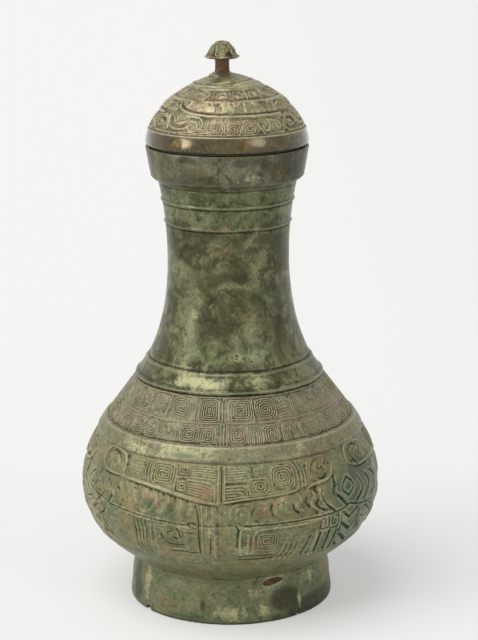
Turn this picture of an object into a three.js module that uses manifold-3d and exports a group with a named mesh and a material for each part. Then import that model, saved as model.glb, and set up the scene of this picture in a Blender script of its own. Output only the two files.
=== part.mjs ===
// A lidded hu: a cast bronze wine jar with a long neck, a pear-shaped belly, a ring foot
// and a domed lid that lifts off by its mushroom knob.
// Millimetres, +Z up, the front faces -Y, and the origin is at the centre of the foot's standing face.
import * as THREE from 'three';
import { mergeVertices } from 'three/addons/utils/BufferGeometryUtils.js';
import Module from 'manifold-3d';

const wasm = await Module();
wasm.setup();

// Driving dimensions of the jar
const WALL = 3.4;
const FOOT_HEIGHT = 33;
const FOOT_BASE_RADIUS = 73;
const FOOT_TOP_RADIUS = 68.6;
const FOOT_WALL = 3.6;
const FOOT_EDGE_ROUND = 0.8;
const FLOOR_SAG = 3;
const BELLY_RADIUS = 107.5;
const LOWER_BELLY_RISE = 56;
const UPPER_BELLY_RISE = 88;
const SHOULDER_RADIUS = 58.4;
const LOWER_NECK_RISE = 73;
const WAIST_RADIUS = 43;
const UPPER_NECK_RISE = 52;
const COLLAR_FOOT_RADIUS = 48.4;
const COLLAR_STEP_RISE = 6.5;
const COLLAR_KNEE_RADIUS = 53.6;
const COLLAR_RISE = 19.3;
const RIM_RADIUS = 57;
const RIM_ROUND = 0.8;
const BORE_TAPER = 1;
const MOUTH_RADIUS = 51.6;

// Raised lines and the plain raised band around the jar
const RIDGE_WIDTH = 2.4;
const RIDGE_RISE = 1.1;
const NECK_RIDGE_DROPS = [11.5, 27];
const ORNAMENT_ABOVE_FOOT = 21;
const ORNAMENT_BELOW_SHOULDER = 11.5;
const PLAIN_BAND_ABOVE_BELLY = 39;
const PLAIN_BAND_WIDTH = 7.5;
const PLAIN_BAND_RISE = 0.8;
const STEP_SLOPE = 0.8;

// The sunk fields of the cast ornament, as deep as the middle of their carving.
// The panels' lower edge climbs from each mould seam towards the masks.
const SEAM_ANGLE = -4;
const MASK_ANGLES = [50.5, 173, 295.5];
const SPIRAL_FIELD_DEPTH = 0.45;
const PANEL_DEPTH = 0.35;
const FEATHER_DEPTH = 1.2;
const LOWER_FIELD_DEPTH = 0.6;
const FEATHERS_BELOW_BELLY = 4.4;
const PANEL_EDGE_ABOVE_BELLY = 11.5;
const PANEL_EDGE_CLIMB = 9;
const PANEL_EDGE_SPAN = 42;

// Each seam is a slot between the panels' lines, over a flat upright band
const SEAM_SLOT_FROM_SEAM = 0.9;
const SEAM_SLOT_SPAN = 1;
const SEAM_SLOT_BELOW_BAND = 4;
const SEAM_BAND_FROM_SEAM = -3.7;
const SEAM_BAND_SPAN = 5.6;
const SEAM_BAND_DEPTH = 0.2;

// The masks: a broad flat face with a pair of waves and a diamond cut into it, two eyes, and chevrons below
const FACE_SPAN = 15;
const FACE_DEPTH = 0.25;
const CUT_DEPTH = 0.9;
const DIAMOND_SPAN = 4.2;
const DIAMOND_HALF_HEIGHT = 7;
const DIAMOND_ABOVE_BELLY = 11.3;
const DIAMOND_CORE = 0.72;
const WAVE_PLACES = [[2.6, -0.8], [6.8, 4.6], [8, 10], [7.2, 16], [6, 21.6]];
const WAVE_SPAN = 1.2;
const CHEVRON_DROPS = [11.4, 20.4, 30];
const CHEVRON_SPAN = 4.3;
const CHEVRON_RISE = 5.2;
const CHEVRON_WIDTH = 2.4;
const EYE_FROM_MASK = 12.2;
const EYE_ABOVE_BELLY = 28.2;
const EYE_SPAN = 6.2;
const EYE_HALF_HEIGHT = 7.2;
const EYE_RISE = 0.9;

// The slots that the casting core left in the foot, with the fired clay still in them
const SLOT_COUNT = 3;
const SLOT_FIRST_ANGLE = 25;
const SLOT_WIDTH = 16;
const SLOT_DEPTH = 4;
const SLOT_DROP = 4;
const SLOT_RECESS = 0.7;

// The bronze spacers that held the casting core in place, in the floor and in the lid's edge
const FLOOR_SPACER_COUNT = 4;
const FLOOR_SPACER_RING = 42;
const FLOOR_SPACER_SIZE = [8, 10];
const LID_SPACER_ANGLES = [-38, 8, 165];
const LID_SPACER_SIZE = [9, 5.5];
const LID_SPACER_RISE = 7.2;

// Driving dimensions of the lid
const LID_WALL = 3;
const LID_RADIUS = 56.9;
const LID_TUCK = 0.6;
const LID_LIP_ROUND = 1.7;
const LID_LIP_RAISE = 1.2;
const LID_SEAT_WIDTH = 2.6;
const DOME_SHOULDER_RADIUS = 41.4;
const DOME_SHOULDER_RISE = 31.4;
const DOME_RISE = 49.7;
const FLANGE_DEPTH = 13.5;
const FLANGE_WALL = 2.6;
const FLANGE_CLEARANCE = 0.7;
const LID_LINE_PLACES = [12, 25.4, 35.6];
const LID_LINE_RISE = 0.8;
const LID_LINE_WIDTH = 1.8;

// Driving dimensions of the knob, which stands a little to the left of the lid's centre
const KNOB_OFFSET = -3;
const CROWN_PAD_RADIUS = 7;
const CROWN_PAD_RISE = 0.6;
const STEM_RADIUS = 5;
const STEM_LENGTH = 8.9;
const STEM_TENON_RADIUS = 3.2;
const STEM_TENON_LENGTH = 6.6;
const STEM_HEAD_RADIUS = 6.4;
const STEM_HEAD_THICKNESS = 2.2;
const CAP_RADIUS = 12.6;
const CAP_BRIM_THICKNESS = 1.7;
const CAP_HEIGHT = 13;

// Clearance between a piece and what it lies in or on
const SEAT_CLEARANCE = 0.3;

// Facets around the big turnings and the knob, and along each bend outside and inside,
// and how far a bend's rows stay from the steps in the wall
const AROUND = 48;
const KNOB_AROUND = 24;
const OUTER_STEPS = 6;
const INNER_STEPS = 4;
const ROW_SPACING = 3.2;

// Finishes
const patina = new THREE.MeshStandardMaterial({ color: 0x72755a, roughness: 0.55, metalness: 0.45 });
const lidPatina = new THREE.MeshStandardMaterial({ color: 0x8a7f5f, roughness: 0.5, metalness: 0.5 });
const stemBronze = new THREE.MeshStandardMaterial({ color: 0x5b4636, roughness: 0.6, metalness: 0.4 });
const capPatina = new THREE.MeshStandardMaterial({ color: 0x8b8a68, roughness: 0.6, metalness: 0.4 });
const spacerBronze = new THREE.MeshStandardMaterial({ color: 0x6a5c43, roughness: 0.5, metalness: 0.6 });
const coreClay = new THREE.MeshStandardMaterial({ color: 0x6e4a38, roughness: 0.95, metalness: 0 });

// Heights, each built up from the one below it
const bellyHeight = FOOT_HEIGHT + LOWER_BELLY_RISE;
const shoulderHeight = bellyHeight + UPPER_BELLY_RISE;
const waistHeight = shoulderHeight + LOWER_NECK_RISE;
const collarFootHeight = waistHeight + UPPER_NECK_RISE;
const collarKneeHeight = collarFootHeight + COLLAR_STEP_RISE;
const rimHeight = collarKneeHeight + COLLAR_RISE;
const slotHeight = FOOT_HEIGHT - SLOT_DROP;
const domeTop = rimHeight + DOME_RISE;
const crownSeat = domeTop + CROWN_PAD_RISE;
const capUnderside = crownSeat + STEM_LENGTH;
const capTop = capUnderside + CAP_HEIGHT;

const point = (radius, height) => new THREE.Vector2(radius, height);
const lerp = THREE.MathUtils.lerp;
const indices = (count) => Array.from({ length: count }, (_, i) => i);
const evenly = (first, count) => indices(count).map((i) => first + (i * 360) / count);

// A place at an angle from the front, towards the right.
function aroundAxis(angle, radius, height) {
  const turn = THREE.MathUtils.degToRad(angle);
  return new THREE.Vector3(radius * Math.sin(turn), -radius * Math.cos(turn), height);
}

// How far apart two angles are, the short way round.
const apart = (a, b) => Math.abs(THREE.MathUtils.euclideanModulo(a - b + 180, 360) - 180);

// A closed geometry as a solid that can be cut and joined.
function solidFrom(geometry) {
  const bare = geometry.clone();
  bare.deleteAttribute('normal');
  bare.deleteAttribute('uv');
  const merged = mergeVertices(bare, 1e-4);
  const corners = [];
  for (let i = 0; i < merged.index.count; i += 3) {
    const [a, b, c] = [0, 1, 2].map((k) => merged.index.getX(i + k));
    if (a !== b && b !== c && c !== a) corners.push(a, b, c);
  }
  return new wasm.Manifold(new wasm.Mesh({
    numProp: 3,
    vertProperties: new Float32Array(merged.attributes.position.array),
    triVerts: new Uint32Array(corners),
  }));
}

function meshFrom(solid, name, material) {
  const { vertProperties, triVerts } = solid.getMesh();
  const geometry = new THREE.BufferGeometry();
  geometry.setAttribute('position', new THREE.BufferAttribute(new Float32Array(vertProperties), 3));
  geometry.setIndex(new THREE.BufferAttribute(new Uint32Array(triVerts), 1));
  geometry.computeVertexNormals();
  const mesh = new THREE.Mesh(geometry, material);
  mesh.name = name;
  return mesh;
}

// A profile turned about +Z. Going up along its outer face, the metal is on the left.
function turned(profile, around = AROUND) {
  const geometry = new THREE.LatheGeometry(profile, around);
  geometry.rotateX(Math.PI / 2);
  return solidFrom(geometry);
}

// A wall that closes round +Z, with a profile for each angle from the front. All have as many points.
function turnedWith(profileAt, firstAngle) {
  const columns = evenly(firstAngle, AROUND).map((angle) => (
    profileAt(angle).map((p) => aroundAxis(angle, p.x, p.y))
  ));
  const faces = columns.flatMap((here, i) => {
    const next = columns[(i + 1) % AROUND];
    return here.slice(1).flatMap((above, j) => [
      here[j], next[j], next[j + 1],
      here[j], next[j + 1], above,
    ]);
  });
  return solidFrom(new THREE.BufferGeometry().setFromPoints(faces));
}

function ringBetween(inner, outer, bottom, top) {
  return turned([
    point(inner, bottom),
    point(outer, bottom),
    point(outer, top),
    point(inner, top),
    point(inner, bottom),
  ]);
}

// A box at a distance from the axis, turned about it by an angle from the front.
function plateAt(angle, distance, height, [deep, wide, tall], clearance) {
  const box = new THREE.BoxGeometry(deep, wide - 2 * clearance, tall - 2 * clearance);
  box.translate(distance, 0, height);
  box.rotateZ(THREE.MathUtils.degToRad(angle - 90));
  return solidFrom(box);
}

const cutBy = (solid, cutters) => cutters.reduce((left, cutter) => left.subtract(cutter), solid);

function bend(start, startPull, endPull, end, divisions) {
  return new THREE.CubicBezierCurve(start, startPull, endPull, end).getPoints(divisions);
}

// A curve moved inwards by a wall's thickness, square to itself.
function offsetInwards(curve, wall) {
  return curve.map((p, i) => {
    const before = curve[Math.max(0, i - 1)];
    const after = curve[Math.min(curve.length - 1, i + 1)];
    const along = after.clone().sub(before).normalize();
    return point(p.x - along.y * wall, p.y + along.x * wall);
  });
}

// The height at which a wall that closes in as it rises reaches a radius.
function heightAt(wall, radius) {
  const within = wall.findIndex((p) => p.x <= radius);
  const [low, high] = [wall[within - 1], wall[within]];
  return lerp(low.y, high.y, (low.x - radius) / (low.x - high.x));
}

function radiusAt(wall, height) {
  const above = Math.max(1, wall.findIndex((p) => p.y >= height));
  const [low, high] = [wall[above - 1], wall[above]];
  return lerp(low.x, high.x, (height - low.y) / (high.y - low.y));
}

// A raised line, as the levels that begin and end it.
const line = (height, width, rise) => [
  { from: height - width / 2 + STEP_SLOPE / 2, rise },
  { from: height + width / 2 - STEP_SLOPE / 2, rise: 0 },
];

// A wall whose face steps out and in: each level lasts from its height up to the next one's.
function withLevels(wall, rows, levels) {
  const corners = levels.flatMap(({ from, rise }, i) => [
    { height: from - STEP_SLOPE / 2, rise: i ? levels[i - 1].rise : 0 },
    { height: from + STEP_SLOPE / 2, rise },
  ]);
  const plain = rows.map((height) => (
    { height, rise: levels.findLast((level) => level.from <= height)?.rise ?? 0 }
  ));
  return [...plain, ...corners]
    .sort((a, b) => a.height - b.height)
    .map((s) => point(radiusAt(wall, s.height) + s.rise, s.height));
}

// The rows of a wall that lie clear of its steps, each of which takes a span of heights.
function rowsBeside(wall, spans) {
  const isClear = (height) => spans.every(([low, high]) => (
    height < low - ROW_SPACING || height > high + ROW_SPACING
  ));
  return [wall[0].y, ...wall.slice(1, -1).map((p) => p.y).filter(isClear), wall.at(-1).y];
}

// The belly's outer wall, from the foot up to the shoulder ridge.
function bellyWall(divisions) {
  const foot = point(FOOT_TOP_RADIUS, FOOT_HEIGHT);
  const widest = point(BELLY_RADIUS, bellyHeight);
  const shoulder = point(SHOULDER_RADIUS, shoulderHeight);
  const lowerPull = point(lerp(FOOT_TOP_RADIUS, BELLY_RADIUS, 0.6), lerp(FOOT_HEIGHT, bellyHeight, 0.27));
  const widestPullDown = point(BELLY_RADIUS, lerp(FOOT_HEIGHT, bellyHeight, 0.5));
  const widestPullUp = point(BELLY_RADIUS, lerp(bellyHeight, shoulderHeight, 0.33));
  const upperPull = point(
    lerp(SHOULDER_RADIUS, BELLY_RADIUS, 0.36),
    lerp(shoulderHeight, bellyHeight, 0.31),
  );
  return [
    ...bend(foot, lowerPull, widestPullDown, widest, divisions),
    ...bend(widest, widestPullUp, upperPull, shoulder, divisions).slice(1),
  ];
}

// The neck's outer wall, from the shoulder ridge up to the collar's foot.
function neckWall(divisions) {
  const shoulder = point(SHOULDER_RADIUS, shoulderHeight);
  const waist = point(WAIST_RADIUS, waistHeight);
  const collarFoot = point(COLLAR_FOOT_RADIUS, collarFootHeight);
  const lowerPull = point(
    lerp(SHOULDER_RADIUS, WAIST_RADIUS, 0.55),
    lerp(shoulderHeight, waistHeight, 0.22),
  );
  const waistPullDown = point(WAIST_RADIUS, lerp(shoulderHeight, waistHeight, 0.52));
  const waistPullUp = point(WAIST_RADIUS, lerp(waistHeight, collarFootHeight, 0.42));
  const upperPull = point(
    lerp(COLLAR_FOOT_RADIUS, WAIST_RADIUS, 0.55),
    lerp(collarFootHeight, waistHeight, 0.27),
  );
  return [
    ...bend(shoulder, lowerPull, waistPullDown, waist, divisions),
    ...bend(waist, waistPullUp, upperPull, collarFoot, divisions).slice(1),
  ];
}

// The collar's outer wall, which flares from its knee to the rim.
function collarWall(divisions) {
  const knee = point(COLLAR_KNEE_RADIUS, collarKneeHeight);
  const rim = point(RIM_RADIUS, rimHeight - RIM_ROUND);
  const kneePull = point(
    lerp(COLLAR_KNEE_RADIUS, RIM_RADIUS, 0.35),
    lerp(collarKneeHeight, rimHeight, 0.2),
  );
  const rimPull = point(
    lerp(RIM_RADIUS, COLLAR_KNEE_RADIUS, 0.3),
    lerp(rimHeight, collarKneeHeight, 0.3),
  );
  return bend(knee, kneePull, rimPull, rim, divisions);
}

const jarWall = (divisions) => [
  ...bellyWall(divisions),
  ...neckWall(divisions).slice(1),
  ...collarWall(Math.ceil(divisions / 2)),
];

// The underside of the floor, which sags a little inside the foot ring.
function floorUnderside() {
  const edge = FOOT_TOP_RADIUS - FOOT_WALL;
  return [0, 0.35, 0.7, 1].map((share) => (
    point(share * edge, FOOT_HEIGHT - FLOOR_SAG * (1 - share * share))
  ));
}

function footRing() {
  const inside = FOOT_BASE_RADIUS - FOOT_WALL;
  return [
    point(inside, FOOT_EDGE_ROUND),
    point(inside + FOOT_EDGE_ROUND, 0),
    point(FOOT_BASE_RADIUS - FOOT_EDGE_ROUND, 0),
    point(FOOT_BASE_RADIUS, FOOT_EDGE_ROUND),
    point(lerp(FOOT_TOP_RADIUS, FOOT_BASE_RADIUS, 0.7), 0.5 * FOOT_HEIGHT),
    point(lerp(FOOT_TOP_RADIUS, FOOT_BASE_RADIUS, 0.5), 0.73 * FOOT_HEIGHT),
  ];
}

const seamAngles = evenly(SEAM_ANGLE, SLOT_COUNT);

// How high the panels' stepped lower edge is.
function panelEdge(angle) {
  const away = Math.min(...seamAngles.map((seam) => apart(angle, seam)));
  return bellyHeight + PANEL_EDGE_ABOVE_BELLY + PANEL_EDGE_CLIMB * Math.min(1, away / PANEL_EDGE_SPAN);
}

const isFace = (angle) => MASK_ANGLES.some((mask) => apart(angle, mask) < FACE_SPAN);

// The jar's levels, from the foot up.
function jarLevels(angle) {
  const plainBand = bellyHeight + PLAIN_BAND_ABOVE_BELLY;
  return [
    { from: FOOT_HEIGHT + ORNAMENT_ABOVE_FOOT, rise: -LOWER_FIELD_DEPTH },
    { from: bellyHeight - FEATHERS_BELOW_BELLY, rise: isFace(angle) ? -FACE_DEPTH : -FEATHER_DEPTH },
    { from: panelEdge(angle), rise: -PANEL_DEPTH },
    { from: plainBand, rise: PLAIN_BAND_RISE },
    { from: plainBand + PLAIN_BAND_WIDTH, rise: -SPIRAL_FIELD_DEPTH },
    ...line(shoulderHeight - ORNAMENT_BELOW_SHOULDER, RIDGE_WIDTH, RIDGE_RISE),
    ...line(shoulderHeight, RIDGE_WIDTH, RIDGE_RISE),
    ...[...NECK_RIDGE_DROPS].reverse().flatMap((drop) => (
      line(collarFootHeight - drop, RIDGE_WIDTH, RIDGE_RISE)
    )),
  ];
}

// The jar's outer face at an angle. The row under the panels' edge climbs with it.
function jarFace(angle) {
  const wall = jarWall(OUTER_STEPS);
  const [atSeam, atMask] = [SEAM_ANGLE, MASK_ANGLES[0]].map(jarLevels);
  const rows = rowsBeside(wall, atSeam.map(({ from }, i) => [from, atMask[i].from]));
  return withLevels(wall, [...rows, lerp(bellyHeight, panelEdge(angle), 0.55)], jarLevels(angle));
}

function jarSolid() {
  const mouthBottom = rimHeight - FLANGE_DEPTH - 2 * SEAT_CLEARANCE - WALL / 2;
  const inside = offsetInwards(jarWall(INNER_STEPS), WALL)
    .filter((p) => p.y > FOOT_HEIGHT + 2 * WALL && p.y < mouthBottom - BORE_TAPER);
  const floor = floorUnderside().map((p) => point(p.x, p.y + WALL));
  return turnedWith((angle) => [
    ...floorUnderside(),
    ...footRing(),
    ...jarFace(angle),
    point(RIM_RADIUS - RIM_ROUND, rimHeight),
    point(MOUTH_RADIUS, rimHeight),
    point(MOUTH_RADIUS, mouthBottom),
    ...inside.toReversed(),
    ...floor.toReversed(),
  ], SEAM_ANGLE);
}

// A block laid on the belly: an outline in degrees and heights, anticlockwise seen from outside,
// at each layer's scale and distance out from the wall.
function blockOnBelly({ outline, caps }, layers) {
  const wall = jarWall(OUTER_STEPS);
  const corners = outline.map(([angle, height]) => new THREE.Vector2(angle, height));
  const centre = new THREE.Box2().setFromPoints(corners).getCenter(new THREE.Vector2());
  const rings = layers.map(([scale, out]) => corners.map((corner) => {
    const place = centre.clone().lerp(corner, scale);
    return aroundAxis(place.x, radiusAt(wall, place.y) + out, place.y);
  }));
  const sides = rings.slice(1).flatMap((upper, layer) => upper.flatMap((_, i) => {
    const lower = rings[layer];
    const j = (i + 1) % upper.length;
    return [lower[i], lower[j], upper[j], lower[i], upper[j], upper[i]];
  }));
  const bottom = caps.flatMap(([a, b, c]) => [rings[0][a], rings[0][c], rings[0][b]]);
  const top = caps.flat().map((i) => rings.at(-1)[i]);
  return solidFrom(new THREE.BufferGeometry().setFromPoints([...bottom, ...sides, ...top]));
}

// A shape whose corners all see its first corner.
const fan = (outline) => ({ outline, caps: indices(outline.length - 2).map((i) => [0, i + 1, i + 2]) });

// A strip along a path. Its width is a step in degrees and height towards the path's right-hand side.
function ribbon(path, [across, up]) {
  const side = (share) => path.map(([angle, height]) => [angle + share * across, height + share * up]);
  const last = 2 * path.length - 1;
  return {
    outline: [...side(0.5), ...side(-0.5).reverse()],
    caps: indices(path.length - 1).flatMap((i) => [[last - i, i, i + 1], [last - i, i + 1, last - i - 1]]),
  };
}

const cutOnBelly = (shape, ground) => blockOnBelly(shape, [[1, -ground - CUT_DEPTH], [1, WALL / 2]]);

function diamondCut(mask) {
  const middle = bellyHeight + DIAMOND_ABOVE_BELLY;
  const diamond = fan([
    [mask - DIAMOND_SPAN, middle],
    [mask, middle - DIAMOND_HALF_HEIGHT],
    [mask + DIAMOND_SPAN, middle],
    [mask, middle + DIAMOND_HALF_HEIGHT],
  ]);
  const core = blockOnBelly(diamond, [[DIAMOND_CORE, -WALL / 2], [DIAMOND_CORE, WALL]]);
  return cutOnBelly(diamond, FACE_DEPTH).subtract(core);
}

// The wave at one side of the diamond.
function waveCut(mask, side) {
  const path = WAVE_PLACES.map(([away, up]) => [mask + side * away, bellyHeight + up]);
  return cutOnBelly(ribbon(path, [WAVE_SPAN, 0]), FACE_DEPTH);
}

function chevronCut(mask, drop) {
  const low = bellyHeight - drop;
  const path = [
    [mask - CHEVRON_SPAN, low + CHEVRON_RISE],
    [mask, low],
    [mask + CHEVRON_SPAN, low + CHEVRON_RISE],
  ];
  return cutOnBelly(ribbon(path, [0, -CHEVRON_WIDTH]), LOWER_FIELD_DEPTH);
}

// A low eye-shaped boss beside a mask's axis.
function eyeBoss(mask, side) {
  const outline = evenly(22.5, 8).map((corner) => {
    const turn = THREE.MathUtils.degToRad(corner);
    const squared = 1 / Math.cos(Math.PI / 8);
    return [
      mask + side * EYE_FROM_MASK + squared * EYE_SPAN * Math.cos(turn),
      bellyHeight + EYE_ABOVE_BELLY + squared * EYE_HALF_HEIGHT * Math.sin(turn),
    ];
  });
  return blockOnBelly(fan(outline), [[1, -WALL / 2], [0.8, EYE_RISE / 2], [0, EYE_RISE]]);
}

// A path straight up the belly, with a place at each row of its wall.
function upBelly(angle, low, high) {
  const rows = bellyWall(OUTER_STEPS).map((p) => p.y).filter((height) => height > low && height < high);
  return [low, ...rows, high].map((height) => [angle, height]);
}

function seamSlot(seam) {
  const top = bellyHeight + PLAIN_BAND_ABOVE_BELLY - SEAM_SLOT_BELOW_BAND;
  const path = upBelly(seam + SEAM_SLOT_FROM_SEAM, panelEdge(seam), top);
  return cutOnBelly(ribbon(path, [SEAM_SLOT_SPAN, 0]), PANEL_DEPTH);
}

function seamBand(seam) {
  const low = FOOT_HEIGHT + ORNAMENT_ABOVE_FOOT + RIDGE_WIDTH;
  const path = upBelly(seam + SEAM_BAND_FROM_SEAM, low, panelEdge(seam));
  return blockOnBelly(ribbon(path, [SEAM_BAND_SPAN, 0]), [[1, -WALL / 2], [1, -SEAM_BAND_DEPTH]]);
}

// The jar with its seams and masks raised and cut.
function carvedJar() {
  const eyes = MASK_ANGLES.flatMap((mask) => [eyeBoss(mask, -1), eyeBoss(mask, 1)]);
  const cuts = MASK_ANGLES.flatMap((mask) => [
    diamondCut(mask),
    waveCut(mask, -1),
    waveCut(mask, 1),
    ...CHEVRON_DROPS.map((drop) => chevronCut(mask, drop)),
  ]);
  const raised = [...eyes, ...seamAngles.map(seamBand)];
  const jar = raised.reduce((plain, block) => plain.add(block), jarSolid());
  return cutBy(jar, [...cuts, ...seamAngles.map(seamSlot)]);
}

const slotAngles = evenly(SLOT_FIRST_ANGLE, SLOT_COUNT);
const floorSpacerAngles = evenly(SEAM_ANGLE, FLOOR_SPACER_COUNT);

function slotPlate(angle, clearance) {
  const middle = FOOT_TOP_RADIUS - FOOT_WALL / 2;
  return plateAt(angle, middle, slotHeight, [4 * FOOT_WALL, SLOT_WIDTH, SLOT_DEPTH], clearance);
}

function floorSpacerPlate(angle, clearance) {
  const [deep, wide] = FLOOR_SPACER_SIZE;
  const size = [deep - 2 * clearance, wide, 6 * WALL + 2 * clearance];
  return plateAt(angle, FLOOR_SPACER_RING, FOOT_HEIGHT, size, clearance);
}

// What is left of the clay in a slot ends a little inside both faces of the foot's wall.
function footCore(angle, number) {
  const inner = FOOT_TOP_RADIUS - FOOT_WALL + 2 * SLOT_RECESS;
  const outer = FOOT_TOP_RADIUS + SLOT_RECESS / 2;
  const wall = ringBetween(inner, outer, slotHeight - SLOT_DEPTH, slotHeight + SLOT_DEPTH);
  return meshFrom(slotPlate(angle, SEAT_CLEARANCE).intersect(wall), `foot_core_${number}`, coreClay);
}

function jarPieces() {
  const jar = carvedJar();
  const slots = slotAngles.map((angle) => slotPlate(angle, 0));
  const seats = floorSpacerAngles.map((angle) => floorSpacerPlate(angle, 0));
  const spacers = floorSpacerAngles.map((angle) => floorSpacerPlate(angle, SEAT_CLEARANCE).intersect(jar));
  return [
    meshFrom(cutBy(jar, [...slots, ...seats]), 'jar_casting', patina),
    ...slotAngles.map((angle, i) => footCore(angle, i + 1)),
    ...spacers.map((spacer, i) => meshFrom(spacer, `floor_spacer_${i + 1}`, spacerBronze)),
  ];
}

// The lid's outer face, from its widest place up to the crown.
function domeWall(divisions) {
  const widest = point(LID_RADIUS, rimHeight + SEAT_CLEARANCE + LID_LIP_RAISE + LID_LIP_ROUND);
  const shoulder = point(DOME_SHOULDER_RADIUS, rimHeight + DOME_SHOULDER_RISE);
  const top = point(0, domeTop);
  const widestPull = point(LID_RADIUS - LID_TUCK, lerp(widest.y, shoulder.y, 0.4));
  const shoulderPullDown = point(
    lerp(DOME_SHOULDER_RADIUS, LID_RADIUS, 0.4),
    lerp(shoulder.y, widest.y, 0.22),
  );
  const shoulderPullUp = point(DOME_SHOULDER_RADIUS * 0.78, lerp(shoulder.y, domeTop, 0.42));
  const topPull = point(DOME_SHOULDER_RADIUS * 0.3, domeTop);
  return [
    ...bend(widest, widestPull, shoulderPullDown, shoulder, divisions),
    ...bend(shoulder, shoulderPullUp, topPull, top, divisions).slice(1),
  ];
}

function domeInside() {
  const hollow = offsetInwards(domeWall(INNER_STEPS), LID_WALL).filter((p) => p.x > 1);
  return [...hollow, point(0, domeTop - LID_WALL)];
}

// The lid turned whole: the dome, the lip that rests on the rim and the flange inside the mouth.
function lidSolid() {
  const wall = domeWall(OUTER_STEPS);
  const lines = LID_LINE_PLACES.flatMap((place) => line(rimHeight + place, LID_LINE_WIDTH, LID_LINE_RISE));
  const seat = rimHeight + SEAT_CLEARANCE;
  const ledge = seat + LID_WALL;
  const lip = seat + LID_LIP_RAISE;
  const seatEdge = MOUTH_RADIUS + LID_SEAT_WIDTH;
  const flangeOutside = MOUTH_RADIUS - FLANGE_CLEARANCE;
  const flangeInside = flangeOutside - FLANGE_WALL;
  const flangeBottom = rimHeight - FLANGE_DEPTH;
  return turned([
    ...domeInside().filter((p) => p.y > ledge + BORE_TAPER).reverse(),
    point(flangeInside, ledge),
    point(flangeInside, flangeBottom),
    point(flangeOutside, flangeBottom),
    point(flangeOutside, seat),
    point(seatEdge, seat),
    point(seatEdge, lip),
    point(LID_RADIUS - LID_LIP_ROUND, lip),
    ...withLevels(wall, rowsBeside(wall, lines.map(({ from }) => [from, from])), lines),
  ]);
}

// The crown is thickened under the knob, down to where the pad's far edge meets the dome inside.
const crownUnderside = heightAt(domeInside(), Math.abs(KNOB_OFFSET) + CROWN_PAD_RADIUS);

function aroundKnobAxis(profile) {
  return turned(profile, KNOB_AROUND).translate([KNOB_OFFSET, 0, 0]);
}

function post(radius, bottom, top) {
  return aroundKnobAxis([point(0, bottom), point(radius, bottom), point(radius, top), point(0, top)]);
}

function lidSpacerPlate(angle, clearance) {
  const size = [6 * LID_WALL, ...LID_SPACER_SIZE];
  return plateAt(angle, LID_RADIUS, rimHeight + LID_SPACER_RISE, size, clearance);
}

function lidPieces() {
  const pad = post(CROWN_PAD_RADIUS, crownUnderside, crownSeat);
  const hole = post(STEM_TENON_RADIUS + SEAT_CLEARANCE, crownUnderside - LID_WALL, crownSeat + LID_WALL);
  const lid = lidSolid();
  const seats = LID_SPACER_ANGLES.map((angle) => lidSpacerPlate(angle, 0));
  const spacers = LID_SPACER_ANGLES.map((angle) => lidSpacerPlate(angle, SEAT_CLEARANCE).intersect(lid));
  return [
    meshFrom(cutBy(lid.add(pad), [hole, ...seats]), 'lid_casting', lidPatina),
    ...spacers.map((spacer, i) => meshFrom(spacer, `lid_spacer_${i + 1}`, spacerBronze)),
  ];
}

// The stem was cast through the crown's hole, and its head inside the lid locks it there.
function knobStem() {
  const headTop = crownUnderside - SEAT_CLEARANCE;
  const headBottom = headTop - STEM_HEAD_THICKNESS;
  const shoulder = crownSeat + SEAT_CLEARANCE;
  const top = capUnderside - SEAT_CLEARANCE;
  const stem = aroundKnobAxis([
    point(0, headBottom),
    point(STEM_HEAD_RADIUS - STEM_HEAD_THICKNESS / 2, headBottom),
    point(STEM_HEAD_RADIUS, (headBottom + headTop) / 2),
    point(STEM_HEAD_RADIUS, headTop),
    point(STEM_TENON_RADIUS, headTop),
    point(STEM_TENON_RADIUS, shoulder),
    point(STEM_RADIUS, shoulder),
    point(STEM_RADIUS, top),
    point(STEM_TENON_RADIUS, top),
    point(STEM_TENON_RADIUS, top + STEM_TENON_LENGTH),
    point(0, top + STEM_TENON_LENGTH),
  ]);
  return meshFrom(stem, 'knob_stem', stemBronze);
}

function knobCap() {
  const brimHeight = capUnderside + CAP_BRIM_THICKNESS;
  const socketRadius = STEM_TENON_RADIUS + SEAT_CLEARANCE;
  const socketTop = capUnderside + STEM_TENON_LENGTH;
  const brimPull = point(CAP_RADIUS * 0.82, lerp(brimHeight, capTop, 0.28));
  const topPull = point(CAP_RADIUS * 0.52, capTop);
  const cap = aroundKnobAxis([
    point(0, socketTop),
    point(socketRadius, socketTop),
    point(socketRadius, capUnderside),
    point(STEM_RADIUS + SEAT_CLEARANCE, capUnderside),
    ...bend(point(CAP_RADIUS, brimHeight), brimPull, topPull, point(0, capTop), 2 * INNER_STEPS),
  ]);
  return meshFrom(cap, 'knob_cap', capPatina);
}

const hu = new THREE.Group();
hu.add(...jarPieces(), ...lidPieces(), knobStem(), knobCap());

export default hu;
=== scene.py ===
import logging
import math
from dataclasses import dataclass, field, replace
from enum import Enum
from typing import Callable, Iterable, Sequence

import bpy
import numpy as np
from mathutils import Matrix, Vector

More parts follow.
